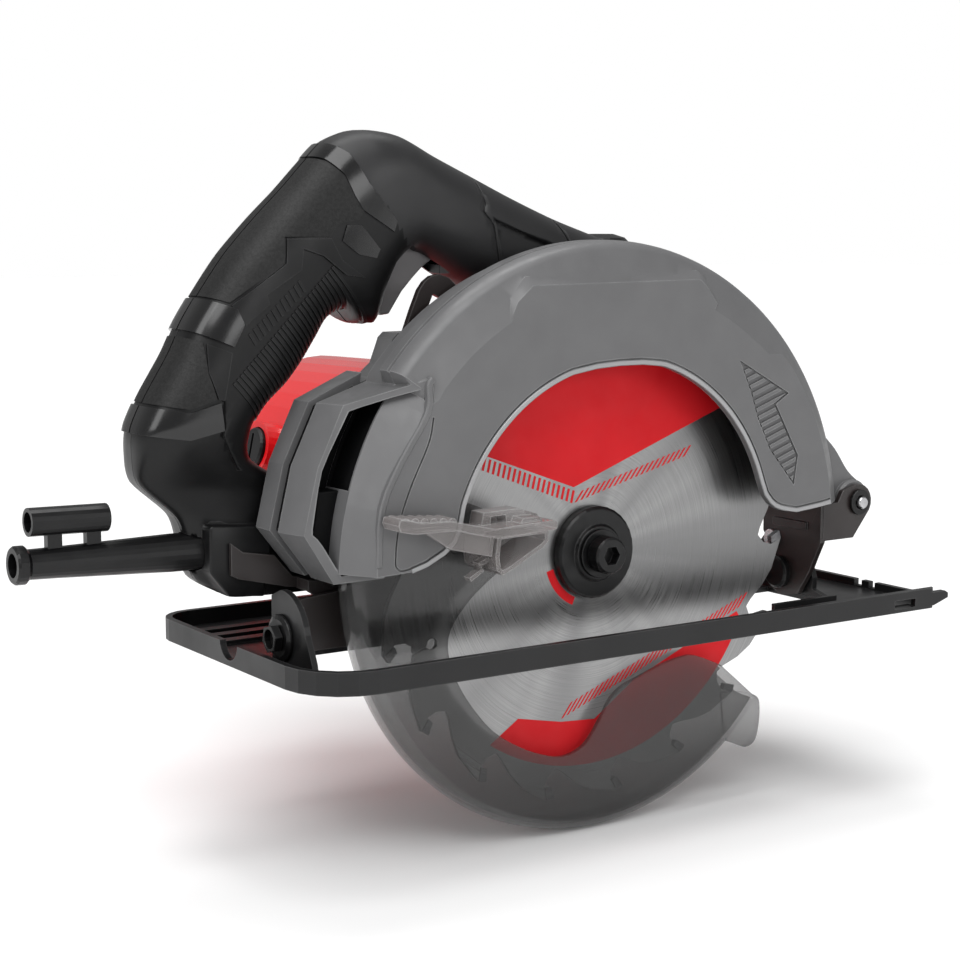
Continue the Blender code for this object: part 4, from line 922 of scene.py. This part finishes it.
LEVER_TOP = ((-98.4, 21.4), (-97.6, 23.3), (-94.2, 22.9), (-88.9, 21.6), (-79.3, 21.4), (-73.4, 20.2),
             (-62.0, 17.6), (-58.0, 17.4), (-37.9, 18.2), (-35.4, 17.4))
LEVER_UNDER = ((-35.4, 15.5), (-37.9, 14.9), (-58.0, 14.0), (-61.5, 14.4), (-69.5, 16.2), (-76.4, 18.0),
               (-91.3, 18.2), (-97.6, 19.4))
LEVER_BOX = ((-58.2, 14.6), (-37.4, 15.2), (-37.4, 10.8), (-39.2, 9.0), (-52.6, 2.2), (-56.4, 0.8),
             (-58.6, 2.6), (-59.2, 7.2))
LEVER_WEB = ((-87.5, 18.6), (-76.2, 11.2), (-60.0, 7.4), (-58.8, 14.6), (-69.5, 16.8), (-76.4, 18.6))
LEVER_BLOCK = ((-61.0, 17.0), (-60.0, 21.6), (-45.5, 22.0), (-38.0, 19.6), (-36.4, 17.0))
LEVER_LEG = ((-58.6, 6.0), (-62.6, 4.4), (-61.4, 2.4), (-66.4, -0.4))


def make_lever():
    """The clear lever: a ribbed finger pad, a step, a web and the open box that joins the guard."""
    pad = along_y("lever_pad", smoothed(LEVER_TOP, 4) + smoothed(LEVER_UNDER, 4), -28.8, -18.4)
    ribs = [along_y("rib_%d" % k, arc(1.55, 0, 180, 10, -95.4 + 3.6 * k, 22.2 - 0.28 * k), -28.2, -19.0)
            for k in range(6)]
    block = along_y("lever_block", LEVER_BLOCK, -20.5, -13.0)
    room = along_y("block_room", [(-57.6, 15.0), (-57.0, 20.0), (-51.0, 20.2), (-50.6, 15.0)], -30.0, -14.6)
    cheek = along_y("lever_cheek", [(-49.0, 17.4), (-48.0, 19.6), (-41.0, 19.4), (-39.4, 17.4)], -26.5, -20.0)
    box = along_y("lever_box", LEVER_BOX, -26.5, -6.7)
    hollow = along_y("lever_hollow", inset(LEVER_BOX, 1.5), -30.0, -9.4)
    web = along_y("lever_web", LEVER_WEB, -25.4, -23.6)
    leg = along_y("lever_leg", ribbon(LEVER_LEG, 1.4), -22.0, -18.4)
    item = fuse(pad, *ribs)
    fuse(item, cut(block, room), cheek, cut(box, hollow), web, leg)
    item.name = "guard_lever_clear"
    item.data.materials.clear()
    item.data.materials.append(CLEAR)
    softened(item, 0.4, 2, 35.0)
    ride_as(item, "swing_guard")
    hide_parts("guard_lever")


# Finishes and soft edges for the CAD nodes that are shown as they are.

NODE_LOOKS = (
    # finish, edge width in mm, nodes
    (BLADE, 0.0, ("blade",)),
    (STEEL, 0.0, ("spindle", "spindle_gear", "guard_return_spring", "inner_flange",
                  "armature_pinion", "armature_shaft", "spindle_bearing_front", "armature_bearing_front",
                  "armature_bearing_rear", "depth_lock_bolt", "depth_lock_nut", "bevel_lock_bolt")),
    (OXIDE, 0.25, ("outer_flange", "blade_bolt", "bolt_washer", "pivot_clip", "front_bevel_rivet",
                   "rear_bevel_bolt", "rear_bevel_washer", "rear_bevel_nut", "housing_screw_1",
                   "housing_screw_2", "housing_screw_3", "housing_screw_4", "handle_screw_1",
                   "handle_screw_2", "handle_screw_3")),
    (STEEL, 0.2, ("front_pivot_pin",)),
    (CAST, 0.7, ("gear_housing",)),
    (RED, 0.6, ("motor_housing",)),
    (BLACK, 0.5, ("motor_end_cap", "brush_cap_1", "brush_cap_2", "cooling_fan", "switch")),
    (BLACK, 0.0, ("front_handle",)),
    (TRIGGER, 1.2, ("trigger",)),
    (TRIGGER, 0.6, ("spindle_lock_button",)),
    (CORD_RUBBER, 0.5, ("cord_protector",)),
    (BROWN, 0.4, ("front_bracket", "depth_arc", "depth_lock_lever")),
    (BLACK, 0.4, ("bevel_lock_knob",)),
    (PAINT, 0.5, ("shoe",)),
    (CORE, 0.0, ("stator_core", "armature_core")),
    (COPPER, 0.0, ("field_winding_front", "field_winding_rear", "commutator")),
    (CARBON, 0.0, ("brush_1", "brush_2")),
)


def dress_nodes():
    for finish, width, names in NODE_LOOKS:
        for name in names:
            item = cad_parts[name]
            item.data.materials.clear()
            item.data.materials.append(finish)
            if width:
                softened(item, width)


# Camera, floor and light.

CAMERA_PLACE = (-0.4246, -0.6135, 0.1509)
CAMERA_WAY = (0.5508, 0.8237, -0.1343)
FLOOR_REACH = 6.0
FLOOR_GAP = 0.0005


def make_camera():
    lens = bpy.data.cameras.new("camera")
    lens.lens = 73.9
    lens.sensor_width = 36.0
    item = bpy.data.objects.new("camera", lens)
    item.location = CAMERA_PLACE
    item.rotation_euler = Vector(CAMERA_WAY).to_track_quat("-Z", "Y").to_euler()
    bpy.context.scene.collection.objects.link(item)
    bpy.context.scene.camera = item


def make_floor():
    """A pale floor that brightens a little with distance, so that its far edge doesn't show."""
    bm = bmesh.new()
    drop = CAD_LOW.z - FLOOR_GAP
    ends = ((-1, -1), (1, -1), (1, 1), (-1, 1))
    bm.faces.new([bm.verts.new((x * FLOOR_REACH, y * FLOOR_REACH, drop)) for x, y in ends])
    floor = new_piece("floor", bm, [])
    made = Finish("pale_floor", 0.9)
    made.colour((0.93, 0.93, 0.93), (0.95, 0.95, 0.95), 2.0)
    reach = made.node("ShaderNodeVectorMath", operation="LENGTH")
    made.link(made.node("ShaderNodeNewGeometry").outputs["Position"], reach.inputs[0])
    fade = made.node("ShaderNodeMapRange", interpolation_type="SMOOTHSTEP")
    made.link(reach.outputs["Value"], fade.inputs["Value"])
    for key, number in (("From Min", 0.35), ("From Max", 1.4), ("To Max", 0.2)):
        fade.inputs[key].default_value = number
    made.shader.inputs["Emission Color"].default_value = (1.0, 1.0, 1.0, 1.0)
    made.link(fade.outputs["Result"], made.shader.inputs["Emission Strength"])
    floor.data.materials.append(made.material)


def add_light(kind, name, energy, place, target, **values):
    light = bpy.data.lights.new(name, kind)
    light.energy = energy
    for key, value in values.items():
        setattr(light, key, value)
    item = bpy.data.objects.new(name, light)
    item.location = place
    item.rotation_euler = (Vector(target) - Vector(place)).to_track_quat("-Z", "Y").to_euler()
    bpy.context.scene.collection.objects.link(item)


def make_light():
    world = bpy.data.worlds.new("studio")
    bpy.context.scene.world = world
    world.use_nodes = True
    tree = world.node_tree
    shine = tree.nodes["Background"]
    shine.inputs["Color"].default_value = (1.0, 1.0, 1.0, 1.0)
    path = tree.nodes.new("ShaderNodeLightPath")
    level = tree.nodes.new("ShaderNodeMapRange")
    level.inputs["To Min"].default_value = 0.36
    level.inputs["To Max"].default_value = 1.0
    tree.links.new(path.outputs["Is Camera Ray"], level.inputs["Value"])
    tree.links.new(level.outputs["Result"], shine.inputs["Strength"])
    middle = (-0.02, -0.02, 0.05)
    add_light("SUN", "key_sun", 2.0, (-0.7, -0.9, 2.0), middle, angle=math.radians(50))
    add_light("AREA", "left_softbox", 5.0, (-1.3, -0.2, 0.8), middle, shape="RECTANGLE", size=0.5, size_y=1.0)
    add_light("AREA", "front_softbox", 4.0, (0.3, -1.5, 0.5), middle, shape="RECTANGLE", size=1.0, size_y=0.4)
    add_light("AREA", "top_softbox", 5.0, (0.1, 0.3, 1.2), middle, shape="RECTANGLE", size=0.8, size_y=0.5)


dress_nodes()
make_guard()
make_lower_guard()
make_prints()
make_tips()
make_handle_half("handle_shell_right", -1, "handle_right")
make_handle_half("handle_shell_left", 1, "handle_left")
make_lever()
make_camera()
make_floor()
make_light()
bpy.context.scene.view_settings.view_transform = "Standard"
